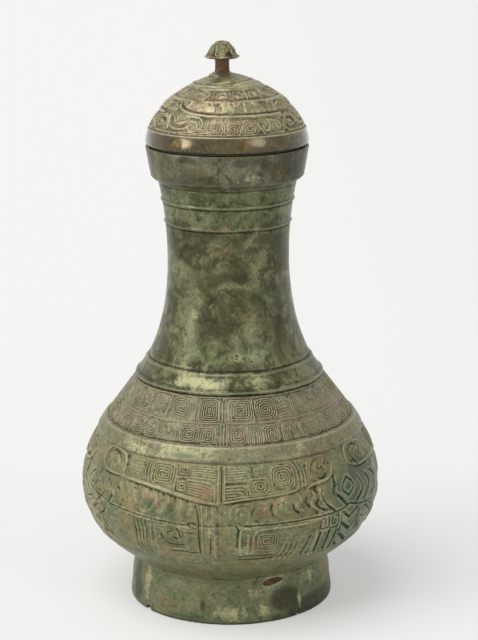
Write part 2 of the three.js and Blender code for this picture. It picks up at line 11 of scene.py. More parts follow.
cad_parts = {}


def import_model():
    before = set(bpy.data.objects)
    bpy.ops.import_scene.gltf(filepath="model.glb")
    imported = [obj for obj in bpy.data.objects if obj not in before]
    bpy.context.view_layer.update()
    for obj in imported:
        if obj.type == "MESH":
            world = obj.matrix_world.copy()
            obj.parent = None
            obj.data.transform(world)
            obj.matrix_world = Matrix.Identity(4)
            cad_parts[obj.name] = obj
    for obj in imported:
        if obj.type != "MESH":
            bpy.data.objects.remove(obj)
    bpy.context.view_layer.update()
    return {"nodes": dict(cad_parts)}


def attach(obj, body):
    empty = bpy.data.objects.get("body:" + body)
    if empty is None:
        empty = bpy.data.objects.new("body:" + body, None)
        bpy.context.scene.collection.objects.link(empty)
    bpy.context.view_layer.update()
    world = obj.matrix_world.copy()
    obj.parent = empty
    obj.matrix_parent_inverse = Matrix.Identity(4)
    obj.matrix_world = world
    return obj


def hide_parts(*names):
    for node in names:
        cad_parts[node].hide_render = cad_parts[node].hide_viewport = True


log = logging.getLogger("hu")

MM = 0.001
FINE = 1.0

Array = np.ndarray
Object = bpy.types.Object
Material = bpy.types.Material
Socket = bpy.types.NodeSocket
Point = tuple[float, float]
Colour = tuple[float, float, float]


# Curves and the turned walls


def srgb(red: float, green: float, blue: float) -> tuple[float, float, float, float]:
    """Turns a screen colour into the linear colour that nodes take.

    Args:
        red: Red from 0 to 255.
        green: Green from 0 to 255.
        blue: Blue from 0 to 255.

    Returns:
        The linear colour, with an alpha of one.
    """
    linear = [((c / 255 + 0.055) / 1.055) ** 2.4 if c > 10 else c / 3295 for c in (red, green, blue)]
    return (*linear, 1.0)


def lerp(start: float, end: float, share: float) -> float:
    """Returns the value a share of the way from start to end."""
    return start + (end - start) * share


def smooth(values: Array, low: float, high: float) -> Array:
    """Returns 0 up to low, 1 from high, and a soft step between them."""
    t = np.clip((values - low) / (high - low), 0, 1)
    return t * t * (3 - 2 * t)


def window(values: Array, start: Point, end: Point) -> Array:
    """Returns 1 between a soft step up over the start values and a soft step down over the end values."""
    return smooth(values, *start) * (1 - smooth(values, *end))


def turn_from(angle: Array, centre: float | Array) -> Array:
    """Returns how far angles lie from a centre, from -180 to 180 degrees."""
    return (angle - centre + 180) % 360 - 180


def bend(start: Point, start_pull: Point, end_pull: Point, end: Point, steps: int = 80) -> list[Point]:
    """Returns the points of a cubic curve.

    Args:
        start: Where the curve starts, as radius and height.
        start_pull: The point it sets off towards.
        end_pull: The point it arrives from.
        end: Where the curve ends.
        steps: How many steps it is walked in.

    Returns:
        The points, both ends among them.
    """
    t = np.linspace(0, 1, steps + 1)[:, None]
    corners = [np.array(p, float) for p in (start, start_pull, end_pull, end)]
    path = (
        (1 - t) ** 3 * corners[0]
        + 3 * (1 - t) ** 2 * t * corners[1]
        + 3 * (1 - t) * t**2 * corners[2]
        + t**3 * corners[3]
    )
    return [tuple(p) for p in path]


class Wall:
    """A turned outer face, known by how far one has walked along its profile."""

    def __init__(self, path: Sequence[Point], centre: float = 0.0) -> None:
        """Walks the profile.

        Args:
            path: The profile's points, as radius and height, with the outside on the right-hand side.
            centre: How far the turning axis stands to the right of the jar's.
        """
        points = np.array(path, float)
        steps = np.hypot(*np.diff(points, axis=0).T)
        keep = np.concatenate([[True], steps > 1e-6])
        points = points[keep]
        steps = np.hypot(*np.diff(points, axis=0).T)
        self.centre = centre
        self.arcs = np.concatenate([[0], np.cumsum(steps)])
        self.radii, self.heights = points.T
        along = np.gradient(points, self.arcs, axis=0)
        along /= np.hypot(*along.T)[:, None]
        self.out_r, self.out_z = along[:, 1], -along[:, 0]
        self.rising = slice(int(np.argmin(self.heights)), int(np.argmax(self.heights)) + 1)

    @property
    def length(self) -> float:
        """How long the profile is."""
        return float(self.arcs[-1])

    def arc_at(self, height: float | Array) -> Array:
        """Returns how far along the profile a height is, where the wall rises."""
        return np.interp(height, self.heights[self.rising], self.arcs[self.rising])

    def radius_at(self, height: float | Array) -> Array:
        """Returns the radius at a height, where the wall rises."""
        return np.interp(height, self.heights[self.rising], self.radii[self.rising])

    def slope_at(self, height: float) -> float:
        """Returns how much height one millimetre along the profile gains, at a height."""
        return max(0.2, float(np.interp(height, self.heights[self.rising], self.out_r[self.rising])))

    def span(self, low: float, high: float) -> Point:
        """Returns how far along the profile two heights are."""
        return tuple(float(a) for a in self.arc_at(np.array([low, high])))

    def inset(self, arcs: Array, depth: float) -> list[Point]:
        """Returns the points that lie a depth inside the wall, at distances along its profile."""
        columns = (np.interp(arcs, self.arcs, c) for c in (self.radii, self.heights, self.out_r, self.out_z))
        return [(max(r - depth * a, 0.0), z - depth * b) for r, z, a, b in zip(*columns)]


@dataclass(frozen=True)
class Sizes:
    """The jar's and the lid's main sizes, in millimetres."""

    foot_height: float = 33.0
    foot_base: float = 73.0
    foot_top: float = 68.6
    foot_wall: float = 3.6
    belly: float = 107.5
    reach_aside: float = 106.15
    reach_ahead: float = 106.8
    belly_height: float = 89.0
    shoulder: float = 58.4
    shoulder_height: float = 177.0
    waist: float = 43.0
    waist_height: float = 250.0
    collar_foot: float = 48.4
    collar_foot_height: float = 302.0
    knee: float = 53.6
    knee_height: float = 308.5
    rim: float = 57.0
    rim_height: float = 327.8
    mouth: float = 51.6
    mouth_depth: float = 15.8
    wall: float = 3.4
    lid: float = 56.9
    lip_height: float = 329.3
    lip_round: float = 1.7
    dome_shoulder: float = 41.4
    dome_shoulder_height: float = 359.2
    dome_top: float = 377.5
    lid_wall: float = 3.0
    flange_out: float = 50.9
    flange_in: float = 48.3
    flange_bottom: float = 314.3
    seat: float = 328.1
    seat_edge: float = 54.2
    knob: float = -3.0
    pad: float = 7.0
    pad_top: float = 378.1
    stem: float = 5.0
    cap: float = 12.6
    cap_under: float = 387.0
    cap_brim: float = 388.7
    cap_top: float = 400.0


SIZES = Sizes()


def body_wall(s: Sizes) -> Wall:
    """Returns the outer face from the top of the foot to the collar's foot."""
    low = bend(
        (s.foot_top, s.foot_height),
        (lerp(s.foot_top, s.belly, 0.6), lerp(s.foot_height, s.belly_height, 0.27)),
        (s.belly, lerp(s.foot_height, s.belly_height, 0.5)),
        (s.belly, s.belly_height),
    )
    high = bend(
        (s.belly, s.belly_height),
        (s.belly, lerp(s.belly_height, s.shoulder_height, 0.33)),
        (lerp(s.shoulder, s.belly, 0.36), lerp(s.shoulder_height, s.belly_height, 0.31)),
        (s.shoulder, s.shoulder_height),
    )
    neck = bend(
        (s.shoulder, s.shoulder_height),
        (lerp(s.shoulder, s.waist, 0.55), lerp(s.shoulder_height, s.waist_height, 0.22)),
        (s.waist, lerp(s.shoulder_height, s.waist_height, 0.52)),
        (s.waist, s.waist_height),
    )
    top = bend(
        (s.waist, s.waist_height),
        (s.waist, lerp(s.waist_height, s.collar_foot_height, 0.42)),
        (lerp(s.collar_foot, s.waist, 0.55), lerp(s.collar_foot_height, s.waist_height, 0.27)),
        (s.collar_foot, s.collar_foot_height),
    )
    return Wall([*low, *high, *neck, *top])


def foot_wall(s: Sizes) -> Wall:
    """Returns the foot ring's face, from inside its standing edge up to the belly."""
    flare = lerp(s.foot_top, s.foot_base, 0.7)
    face = bend((s.foot_base, 0.8), (s.foot_base, 6), (flare, 11), (flare, s.foot_height / 2), 30)
    top = bend((flare, s.foot_height / 2), (flare - 0.2, 22), (s.foot_top + 1.3, 28), (s.foot_top, s.foot_height), 30)
    inside = s.foot_base - s.foot_wall
    return Wall([(inside, 0.8), (inside + 0.8, 0), (s.foot_base - 0.8, 0), *face, *top])


def collar_wall(s: Sizes) -> Wall:
    """Returns the collar's face, over the rim and down inside the mouth."""
    step = bend(
        (s.collar_foot, s.collar_foot_height),
        (s.collar_foot + 0.5, s.collar_foot_height + 4),
        (s.knee - 0.7, s.knee_height - 4.5),
        (s.knee, s.knee_height),
        30,
    )
    flare = bend(
        (s.knee, s.knee_height),
        (lerp(s.knee, s.rim, 0.35), lerp(s.knee_height, s.rim_height, 0.2)),
        (lerp(s.rim, s.knee, 0.3), lerp(s.rim_height, s.knee_height, 0.3)),
        (s.rim, s.rim_height - 0.8),
    )
    edge = bend(
        (s.rim, s.rim_height - 0.8),
        (s.rim, s.rim_height - 0.3),
        (s.rim - 0.3, s.rim_height),
        (s.rim - 0.8, s.rim_height),
        8,
    )
    bore = [(s.mouth + 0.3, s.rim_height), (s.mouth, s.rim_height - 0.4), (s.mouth, s.rim_height - 15)]
    return Wall([*step, *flare, *edge, *bore])


def lid_wall(s: Sizes) -> Wall:
    """Returns the lid's face, from the underside of its lip up over the crown."""
    widest = (s.lid, s.lip_height + s.lip_round)
    shoulder = (s.dome_shoulder, s.dome_shoulder_height)
    lip = bend(
        (s.lid - s.lip_round, s.lip_height),
        (s.lid - 0.5, s.lip_height),
        (s.lid, s.lip_height + 0.5),
        widest,
        12,
    )
    side = bend(
        widest,
        (s.lid - 0.6, lerp(widest[1], shoulder[1], 0.4)),
        (lerp(s.dome_shoulder, s.lid, 0.4), lerp(shoulder[1], widest[1], 0.22)),
        shoulder,
    )
    crown = bend(
        shoulder,
        (s.dome_shoulder * 0.78, lerp(shoulder[1], s.dome_top, 0.42)),
        (s.dome_shoulder * 0.3, s.dome_top),
        (0.2, s.dome_top),
    )
    return Wall([(s.seat_edge - 0.5, s.lip_height), *lip, *side, *crown])


def cap_wall(s: Sizes) -> Wall:
    """Returns the knob cap's face, from its underside round the brim to its top."""
    brim = bend(
        (s.stem + 0.4, s.cap_under),
        (s.stem + 3.5, s.cap_under),
        (s.cap - 1.0, s.cap_brim - 1.1),
        (s.cap, s.cap_brim),
        30,
    )
    flank = bend(
        (s.cap, s.cap_brim),
        (s.cap - 0.9, s.cap_brim + 0.8),
        (s.cap * 0.82, s.cap_brim + 3),
        (s.cap * 0.7, s.cap_brim + 5.4),
        30,
    )
    top = bend(
        (s.cap * 0.7, s.cap_brim + 5.4),
        (s.cap * 0.58, s.cap_brim + 7.8),
        (s.cap * 0.36, s.cap_top),
        (0.1, s.cap_top),
        40,
    )
    return Wall([*brim, *flank, *top], centre=s.knob)


# Strokes of ornament


class Form(Enum):
    """The section of a stroke."""

    LINE = "line"
    ROUND = "round"


@dataclass(frozen=True)
class Stroke:
    """A raised or sunk line on a wall, drawn in degrees from the front and in heights."""

    points: Array
    half_width: Array
    form: Form = Form.LINE
    height: float = 1.0


CURVE_STEPS = 8


def curve_through(points: Sequence[Point]) -> Array:
    """Returns a smooth path through every point.

    Args:
        points: The points it passes through.

    Returns:
        The path's points, with a few steps from one given point to the next.
    """
    p = np.array(points, float)
    if len(p) < 3:
        return p
    p = np.vstack([2 * p[0] - p[1], p, 2 * p[-1] - p[-2]])
    t = np.linspace(0, 1, CURVE_STEPS, endpoint=False)[:, None]
    path = []
    for a, b, c, d in zip(p[:-3], p[1:-2], p[2:-1], p[3:]):
        path.append(0.5 * (2 * b + (c - a) * t + (2 * a - 5 * b + 4 * c - d) * t**2 + (3 * b - a - 3 * c + d) * t**3))
    return np.vstack([*path, p[-2:-1]])


@dataclass
class Pen:
    """Draws on a wall, in degrees and heights, with one angle moved to an origin.

    Its lines are a fine half width wide where none is given, and depths and levels are shares of the relief.
    """

    wall: Wall
    origin: float = 0.0
    zero: float = 0.0
    stretch: float = 1.0
    fine: float = 0.5
    strokes: list[Stroke] = field(default_factory=list)

    def line(
        self,
        points: Sequence[Point],
        half_width: float | Sequence[float] | None = None,
        form: Form = Form.LINE,
        height: float = 1.0,
        curved: bool = True,
        taper: bool = False,
    ) -> None:
        """Draws a line through points.

        Args:
            points: Degrees and heights.
            half_width: Half the line's width, the same all along or one for each point. None is the pen's own.
            form: The line's section.
            height: How far it stands out, as a share, below zero for a cut.
            curved: Whether it bends smoothly through the points.
            taper: Whether its ends are pointed.
        """
        half_width = self.fine if half_width is None else half_width
        path = curve_through(points) if curved else np.array(points, float)
        if np.isscalar(half_width):
            widths = np.full(len(path), float(half_width))
        else:
            widths = np.interp(np.linspace(0, 1, len(path)), np.linspace(0, 1, len(half_width)), half_width)
        if taper:
            share = np.linspace(0, 1, len(path))
            widths = widths * np.sqrt(np.clip(4 * share * (1 - share), 0.03, 1))
        placed = np.column_stack([self.origin + self.stretch * (path[:, 0] - self.zero), path[:, 1]])
        self.strokes.append(Stroke(placed, widths, form, height))

    def fold(
        self, points: Sequence[Point], half_width: float | Sequence[float], height: float = 1.0, taper: bool = False
    ) -> None:
        """Draws a rounded ridge, or a rounded hollow where its height is below zero.

        Args:
            points: Degrees and heights.
            half_width: Half its width, the same all along or one for each point.
            height: How far it stands out, as a share.
            taper: Whether its ends are pointed.
        """
        self.line(points, half_width, Form.ROUND, height, taper=taper)

    def cut(self, points: Sequence[Point], half_width: float | Sequence[float], depth: float) -> None:
        """Draws a cut whose depth is a share."""
        self.line(points, half_width, height=-depth)

    def counted_from(self, angle: float) -> "Pen":
        """Returns a pen that adds to the same strokes and counts its degrees from an angle."""
        return replace(self, zero=self.zero - angle)

    def local(self, angle: float, height: float, path: Array) -> Array:
        """Moves a path in millimetres to a place on the wall.

        Args:
            angle: Degrees.
            height: The height.
            path: Millimetres sideways and up the wall.

        Returns:
            The path in degrees and in heights.
        """
        radius = float(self.wall.radius_at(height))
        per_degree = radius * math.pi / 180 * self.stretch
        return np.column_stack([angle + path[:, 0] / per_degree, height + path[:, 1] * self.wall.slope_at(height)])

    def spiral(
        self,
        angle: float,
        height: float,
        half: Point,
        pitch: float = 1.75,
        start: float = 0.0,
        turn: float = 1.0,
        square: float = 5.0,
        tilt: float = 0.0,
        half_width: float | None = None,
        level: float = 1.0,
    ) -> None:
        """Draws a spiral that winds inwards at an even pitch.

        Args:
            angle: The degrees of its centre.
            height: The height of its centre.
            half: Half its width and half its height, in millimetres.
            pitch: The distance from one turn to the next.
            start: The turn's angle at its outer end, in degrees from the right.
            turn: 1 to wind one way, -1 the other way.
            square: 2 for a round spiral, more for a squarer one.
            tilt: How far the whole is tilted, in degrees.
            half_width: Half the line's width, or None for the pen's own.
            level: How far it stands out, as a share.
        """
        inner = 0.35 * pitch
        turns = (min(half) - inner) / pitch
        steps = max(12, int(turns * 36))
        phi = np.linspace(0, turns * 2 * math.pi, steps)
        shrink = pitch * phi / (2 * math.pi)
        a = np.maximum(half[0] - shrink, inner)
        b = np.maximum(half[1] - shrink, inner)
        around = math.radians(start) + turn * phi
        cos, sin = np.cos(around), np.sin(around)
        power = 2 / square
        x = a * np.sign(cos) * np.abs(cos) ** power
        y = b * np.sign(sin) * np.abs(sin) ** power
        lean = math.radians(tilt)
        path = np.column_stack([x * math.cos(lean) - y * math.sin(lean), x * math.sin(lean) + y * math.cos(lean)])
        self.line(self.local(angle, height, path), half_width, height=level, curved=False)

    def ring(
        self, angle: float, height: float, half: Point, square: float = 6.0, half_width: float | None = None
    ) -> None:
        """Draws a closed rounded rectangle, with its half sizes in millimetres.

        Args:
            angle: The degrees of its centre.
            height: The height of its centre.
            half: Half its width and half its height, in millimetres.
            square: 2 for an ellipse, more for a squarer one.
            half_width: Half the line's width, or None for the pen's own.
        """
        around = np.linspace(0, 2 * math.pi, 49)
        power = 2 / square
        x = half[0] * np.sign(np.cos(around)) * np.abs(np.cos(around)) ** power
        y = half[1] * np.sign(np.sin(around)) * np.abs(np.sin(around)) ** power
        self.line(self.local(angle, height, np.column_stack([x, y])), half_width, curved=False)

    def comb(
        self,
        first: Sequence[Point],
        last: Sequence[Point],
        count: int,
        half_width: float | None = None,
        level: float = 1.0,
    ) -> None:
        """Draws lines side by side, from one path to another.

        Args:
            first: The first line's points.
            last: The last line's points, as many as the first's.
            count: How many lines there are.
            half_width: Half the width of each, or None for the pen's own.
            level: How far they stand out, as a share.
        """
        a, b = np.array(first, float), np.array(last, float)
        for share in np.linspace(0, 1, count):
            self.line(a + (b - a) * share, half_width, height=level)


# Surface patches


class Grain:
    """Smooth random unevenness that is the same wherever two patches meet."""

    ROWS = 256
    RADIUS = 80.0

    def __init__(self, seed: int, cell: float, octaves: int = 2) -> None:
        """Fills the lattices.

        Args:
            seed: The random seed.
            cell: The size of the largest feature, in millimetres.
            octaves: How many lattices there are, each half the size of the one before.
        """
        random = np.random.default_rng(seed)
        self.layers = []
        for octave in range(octaves):
            size = cell / 2**octave
            around = max(6, round(2 * math.pi * self.RADIUS / size))
            self.layers.append((size, random.uniform(-1, 1, (self.ROWS, around)), 0.5**octave))

    def at(self, angle: Array, arc: Array) -> Array:
        """Returns the unevenness from -1 to 1, for angles in degrees and distances up the wall.

        Args:
            angle: Degrees from the front.
            arc: Distances up the wall.

        Returns:
            Values from -1 to 1.
        """
        total = np.zeros(np.broadcast(angle, arc).shape)
        weight = 0.0
        for size, table, share in self.layers:
            rows, around = table.shape
            u = (angle % 360) / 360 * around
            v = arc / size
            iu, iv = np.floor(u).astype(int), np.floor(v).astype(int)
            fu, fv = u - iu, v - iv
            fu, fv = fu * fu * (3 - 2 * fu), fv * fv * (3 - 2 * fv)
            left, right = iu % around, (iu + 1) % around
            low, high = iv % rows, (iv + 1) % rows
            lower = table[low, left] * (1 - fu) + table[low, right] * fu
            upper = table[high, left] * (1 - fu) + table[high, right] * fu
            total += share * (lower * (1 - fv) + upper * fv)
            weight += share
        return total / weight


WAVES = Grain(11, 34.0, 2)
LUMPS = Grain(12, 7.0, 3)
CRUST = Grain(13, 2.6, 2)
PITS = Grain(14, 3.4, 2)
FADE = Grain(15, 15.0, 2)


class Tint(Enum):
    """The colour of a mark on the bronze and the vertex attribute that carries it; besides stains, DARK also carries
    painted shade and PALE painted highlights.
    """

    GREEN = "green"
    COPPER = "copper"
    DARK = "dark"
    PALE = "pale"
    VERDIGRIS = "verdigris"
    EARTH = "earth"


@dataclass(frozen=True)
class StainOrPaintedLight:
    """A soft-edged mark that the photograph shows, which is a stain, painted shade or a painted highlight."""

    tint: Tint
    angle: float
    height: float
    half_width: float
    half_height: float
    strength: float = 1.0


class Patch:
    """A part of a wall as a fine grid that can be raised, cut, stained and given painted shade and highlights."""

    MARGIN = 8
    OVERLAP = 2
    HAND = 0.35
    PIECE = 0.7
    NEAR = 4
    AROUND = 1.6
    SINK = 0.02
    BATCH = 6000
    WIDTHS = ((0, 0.8), (0.8, 1.8), (1.8, 9))

    def __init__(
        self,
        name: str,
        wall: Wall,
        arcs: Point,
        angles: Point = (-180.0, 180.0),
        cell: float = 0.8,
        tuck: Point = (1.5, 1.5),
    ) -> None:
        """Lays out the grid.

        Args:
            name: The piece's name.
            wall: The wall it lies on.
            arcs: Where it starts and ends along the wall's profile.
            angles: Where it starts and ends around the axis, in degrees from the front.
            cell: The grid's spacing in millimetres.
            tuck: How deep its lower and upper edge rows dive under their neighbours.
        """
        self.name, self.wall, self.tuck = name, wall, tuck
        self.full = angles[1] - angles[0] >= 359.9
        cell = cell / FINE
        rows = max(4, int((arcs[1] - arcs[0]) / cell) + 1)
        self.arc = np.linspace(arcs[0], arcs[1], rows)
        self.radius = np.interp(self.arc, wall.arcs, wall.radii)
        self.height = np.interp(self.arc, wall.arcs, wall.heights)
        self.out_r = np.interp(self.arc, wall.arcs, wall.out_r)
        self.out_z = np.interp(self.arc, wall.arcs, wall.out_z)
        span = math.radians(angles[1] - angles[0]) * float(self.radius.max())
        columns = int(span / cell) + 1
        step = (angles[1] - angles[0]) / (columns - 1)
        spare = 0 if self.full else self.MARGIN
        self.angle = angles[0] + step * np.arange(-spare, columns + spare)
        self.grid_angle, self.grid_arc = np.meshgrid(self.angle, self.arc)
        self.grid_height = np.repeat(self.height[:, None], len(self.angle), axis=1)
        self.offset = np.zeros(self.grid_arc.shape)
        self.stains_and_painted_light = {tint: np.zeros(self.grid_arc.shape) for tint in Tint}
        self.contrast = 1.1

    @property
    def arc_step(self) -> float:
        """The distance between two rows."""
        return float(self.arc[1] - self.arc[0])

    @property
    def angle_step(self) -> float:
        """The degrees between two columns."""
        return float(self.angle[1] - self.angle[0])

    def ridge(self, height: float, width: float, rise: float, wander: float = 0.0) -> None:
        """Raises or sinks a line that runs all round.

        Args:
            Makes the shared node group that turns relief, stains and painted shade and highlights into colour, gloss
            and height.
            width: Its full width.
            rise: How far it stands out, below zero for a groove.
            wander: How far its middle strays up and down.
        """
        middle = float(self.wall.arc_at(height)) + wander * WAVES.at(self.grid_angle, np.full(1, height * 7.0))
        away = np.abs(self.grid_arc - middle)
        self.offset += rise * (1 - smooth(away, width * 0.22, width * 0.52))

    def stamp(self, strokes: Iterable[Stroke], sunk: bool = False) -> Array:
        """Returns how far the raised strokes stand out, or the cuts go in, at each place.

        Args:
            strokes: The strokes; those off the patch are passed over.
            sunk: Whether the cuts are wanted and not the raised strokes.

        Returns:
            The strongest stroke's share at each place.
        """
        found = np.zeros(self.grid_arc.shape)
        for form in Form:
            rows = [self._segments(s) for s in strokes if s.form is form and (s.height < 0) is sunk]
            rows = [r for r in rows if len(r)]
            if not rows:
                continue
            segments = np.vstack(rows)
            for low, high in self.WIDTHS:
                some = segments[(segments[:, 4] > low) & (segments[:, 4] <= high)]
                for first in range(0, len(some), self.BATCH):
                    self._lay(found, some[first : first + self.BATCH], form)
        return found

    def _segments(self, stroke: Stroke) -> Array:
        """Cuts a stroke into short pieces: both ends, half width and share.

        Args:
            stroke: The stroke.

        Returns:
            A row for each piece that lies near the patch.
        """
        arc = self.wall.arc_at(stroke.points[:, 1])
        points = np.column_stack([stroke.points[:, 0], arc])
        radius = float(self.wall.radius_at(stroke.points[:, 1].mean()))
        across = np.diff(points[:, 0]) * math.pi / 180 * radius
        length = np.concatenate([[0], np.cumsum(np.hypot(across, np.diff(arc)))])
        if length[-1] <= 0:
            return np.zeros((0, 6))
        at = np.linspace(0, length[-1], max(2, int(length[-1] / self.PIECE) + 1))
        angle = np.interp(at, length, points[:, 0])
        arc = np.interp(at, length, points[:, 1])
        sway = self.HAND * LUMPS.at(angle, arc + 500)
        arc = arc + self.HAND * LUMPS.at(angle, arc)
        angle = angle + sway * 180 / (math.pi * radius)
        width = np.interp(at, length, stroke.half_width)
        middle = (self.angle[0] + self.angle[-1]) / 2
        angle = angle + np.round((middle - angle.mean()) / 360) * 360
        share = np.full(len(at) - 1, abs(stroke.height))
        rows = np.column_stack([angle[:-1], arc[:-1], angle[1:], arc[1:], width[:-1], share])
        inside = (
            (rows[:, 0] > self.angle[0] - self.NEAR)
            & (rows[:, 0] < self.angle[-1] + self.NEAR)
            & (rows[:, 1] > self.arc[0] - self.NEAR)
            & (rows[:, 1] < self.arc[-1] + self.NEAR)
        )
        return rows[inside]

    def _lay(self, found: Array, segments: Array, form: Form) -> None:
        """Raises the grid where it lies within the segments' widths.

        Args:
            found: The strongest share so far at each place, which is added to.
            segments: Short pieces of strokes, one in each row.
            form: Their section.
        """
        start_angle, start_arc, end_angle, end_arc, width, share = segments.T
        mid_angle, mid_arc = (start_angle + end_angle) / 2, (start_arc + end_arc) / 2
        scale = np.interp(mid_arc, self.arc, self.radius) * math.pi / 180
        reach = float(width.max()) + 0.4
        rows = int(reach / self.arc_step) + 1
        columns = int(reach / (self.angle_step * float(scale.min()))) + 1
        row = np.round((mid_arc - self.arc[0]) / self.arc_step).astype(int)
        column = np.round((mid_angle - self.angle[0]) / self.angle_step).astype(int)
        i = row[:, None] + np.arange(-rows, rows + 1)
        j = column[:, None] + np.arange(-columns, columns + 1)
        off = (j < 0) | (j >= len(self.angle))
        if self.full:
            j = j % (len(self.angle) - 1)
            off[:] = False
        x = turn_from(self.angle[0] + j * self.angle_step, start_angle[:, None])
        x = (x * scale[:, None])[:, None, :]
        y = ((self.arc[0] + i * self.arc_step) - start_arc[:, None])[:, :, None]
        dx, dy = (end_angle - start_angle) * scale, end_arc - start_arc
        length = np.maximum(dx * dx + dy * dy, 1e-9)
        t = np.clip((x * dx[:, None, None] + y * dy[:, None, None]) / length[:, None, None], 0, 1)
        away = np.hypot(x - t * dx[:, None, None], y - t * dy[:, None, None]) / width[:, None, None]
        if form is Form.LINE:
            value = 1 - smooth(away, 0.2, 1.25)
        else:
            value = np.sqrt(np.clip(1 - away**2, 0, 1))
        value = value * share[:, None, None]
        i3 = np.broadcast_to(i[:, :, None], value.shape)
        j3 = np.broadcast_to(j[:, None, :], value.shape)
        good = (i3 >= 0) & (i3 < len(self.arc)) & ~np.broadcast_to(off[:, None, :], value.shape) & (value > 0)
        np.maximum.at(found, (i3[good], j3[good]), value[good])

    def stain_and_paint_light(self, stains_and_painted_light: Iterable[StainOrPaintedLight]) -> None:
        """Adds the stains, painted shade and painted highlights that lie on this patch."""
        for s in stains_and_painted_light:
            x = turn_from(self.grid_angle, s.angle) * math.pi / 180 * self.radius[:, None] / s.half_width
            y = (self.grid_height - s.height) / s.half_height
            mark = s.strength * np.exp(-1.2 * (x * x + y * y))
            self.stains_and_painted_light[s.tint] = np.maximum(self.stains_and_painted_light[s.tint], mark)

    def grain(self, grain: Grain, scale: float = 1.0) -> Array:
        """Returns a grain's unevenness all over the grid, finer by a scale."""
        return grain.at(self.grid_angle * scale, self.grid_arc * scale)

    def wear(self, middle: float, swing: float, least: float) -> Array:
        """Returns the share of the relief that wear has left, which fades in and out about a middle."""
        return np.clip(middle + swing * self.grain(FADE), least, 1.0)

    def cavity(self) -> Array:
        """Returns how high each place stands over its surroundings.

        Returns:
            A share from -0.5 in a groove to 0.5 on a ridge, 0 on a plain face.
        """
        rows = max(1, round(self.AROUND / self.arc_step))
        columns = max(1, round(self.AROUND / (self.angle_step * math.pi / 180 * float(self.radius.mean()))))
        blurred = self.offset
        for _ in range(2):
            blurred = box_blur(box_blur(blurred, rows, 0), columns, 1)
        return np.clip((self.offset - blurred) * self.contrast, -0.5, 0.5)

    def build(self) -> Object:
        """Makes the patch as a mesh object with its relief, stains and painted shade and highlights as attributes.

        Returns:
            The new object.
        """
        relief = self.cavity()
        spare = self.MARGIN - self.OVERLAP
        keep = slice(None) if self.full else slice(spare, len(self.angle) - spare)
        offset = self.offset[:, keep].copy()
        angle = self.angle[keep]
        if not self.full:
            offset[:, : self.OVERLAP] -= self.SINK
            offset[:, -self.OVERLAP :] -= self.SINK
        else:
            offset[:, -1] = offset[:, 0]
        offset[0] -= self.tuck[0]
        offset[-1] -= self.tuck[1]
        radius = self.radius[:, None] + offset * self.out_r[:, None]
        height = self.height[:, None] + offset * self.out_z[:, None]
        turn = np.radians(angle)[None, :]
        x = self.wall.centre + radius * np.sin(turn)
        y = -radius * np.cos(turn)
        rows, columns = offset.shape
        obj = grid_object(self.name, rows, columns)
        order = grid_order(obj, rows, columns)
        places = np.stack([x, y, np.broadcast_to(height, x.shape)], axis=-1).reshape(-1, 3)[order] * MM
        obj.data.vertices.foreach_set("co", places.astype(np.float32).ravel())
        set_attribute(obj, "relief", relief[:, keep].reshape(-1)[order])
        for tint, mask in self.stains_and_painted_light.items():
            set_attribute(obj, tint.value, mask[:, keep].reshape(-1)[order])
        obj.data.update()
        if self.full:
            in_edit_mode(obj, lambda: bpy.ops.mesh.remove_doubles(threshold=1e-6))
        bpy.ops.object.shade_smooth()
        log.info("%s: %d faces", self.name, len(obj.data.polygons))
        return obj


def box_blur(values: Array, reach: int, axis: int) -> Array:
    """Averages each value with its neighbours within reach along one axis.

    Args:
        values: The values.
        reach: How many neighbours count on each side.
        axis: The axis.

    Returns:
        The averages.
    """
    pad = [(0, 0), (0, 0)]
    pad[axis] = (reach + 1, reach)
    total = np.cumsum(np.pad(values, pad, mode="edge"), axis=axis)
    size = values.shape[axis]
    high = np.take(total, range(2 * reach + 1, 2 * reach + 1 + size), axis=axis)
    low = np.take(total, range(size), axis=axis)
    return (high - low) / (2 * reach + 1)


# Mesh helpers


def select_only(obj: Object) -> None:
    """Makes an object the only selected and the active one."""
    bpy.ops.object.select_all(action="DESELECT")
    obj.select_set(True)
    bpy.context.view_layer.objects.active = obj


def in_edit_mode(obj: Object, work: Callable[[], object]) -> None:
    """Runs work on an object in edit mode with everything selected.

    Args:
        obj: The object.
        work: What is done to it.
    """
    select_only(obj)
    bpy.ops.object.mode_set(mode="EDIT")
    bpy.ops.mesh.select_all(action="SELECT")
    work()
    bpy.ops.object.mode_set(mode="OBJECT")


def grid_object(name: str, rows: int, columns: int) -> Object:
    """Adds a flat grid with a given number of points each way.

    Args:
        name: Its name.
        rows: How many points it has one way.
        columns: How many points it has the other way.

    Returns:
        The new object.
    """
    bpy.ops.object.select_all(action="DESELECT")
    bpy.ops.mesh.primitive_grid_add(x_subdivisions=columns - 1, y_subdivisions=rows - 1, size=2)
    obj = bpy.context.active_object
    obj.name = obj.data.name = name
    return obj


def grid_order(obj: Object, rows: int, columns: int) -> Array:
    """Returns, for each vertex of a flat grid, its place in a table of rows and columns.

    Args:
        obj: The grid.
        rows: How many rows it has.
        columns: How many columns it has.

    Returns:
        An index for each vertex.
    """
    flat = np.zeros(len(obj.data.vertices) * 3, np.float32)
    obj.data.vertices.foreach_get("co", flat)
    co = flat.reshape(-1, 3)
    column = np.round((co[:, 0] + 1) / 2 * (columns - 1)).astype(int)
    row = np.round((co[:, 1] + 1) / 2 * (rows - 1)).astype(int)
    return row * columns + column


def set_attribute(obj: Object, name: str, values: Array) -> None:
    """Stores one number for each vertex."""
    layer = obj.data.attributes.new(name, "FLOAT", "POINT")
    layer.data.foreach_set("value", values.astype(np.float32))


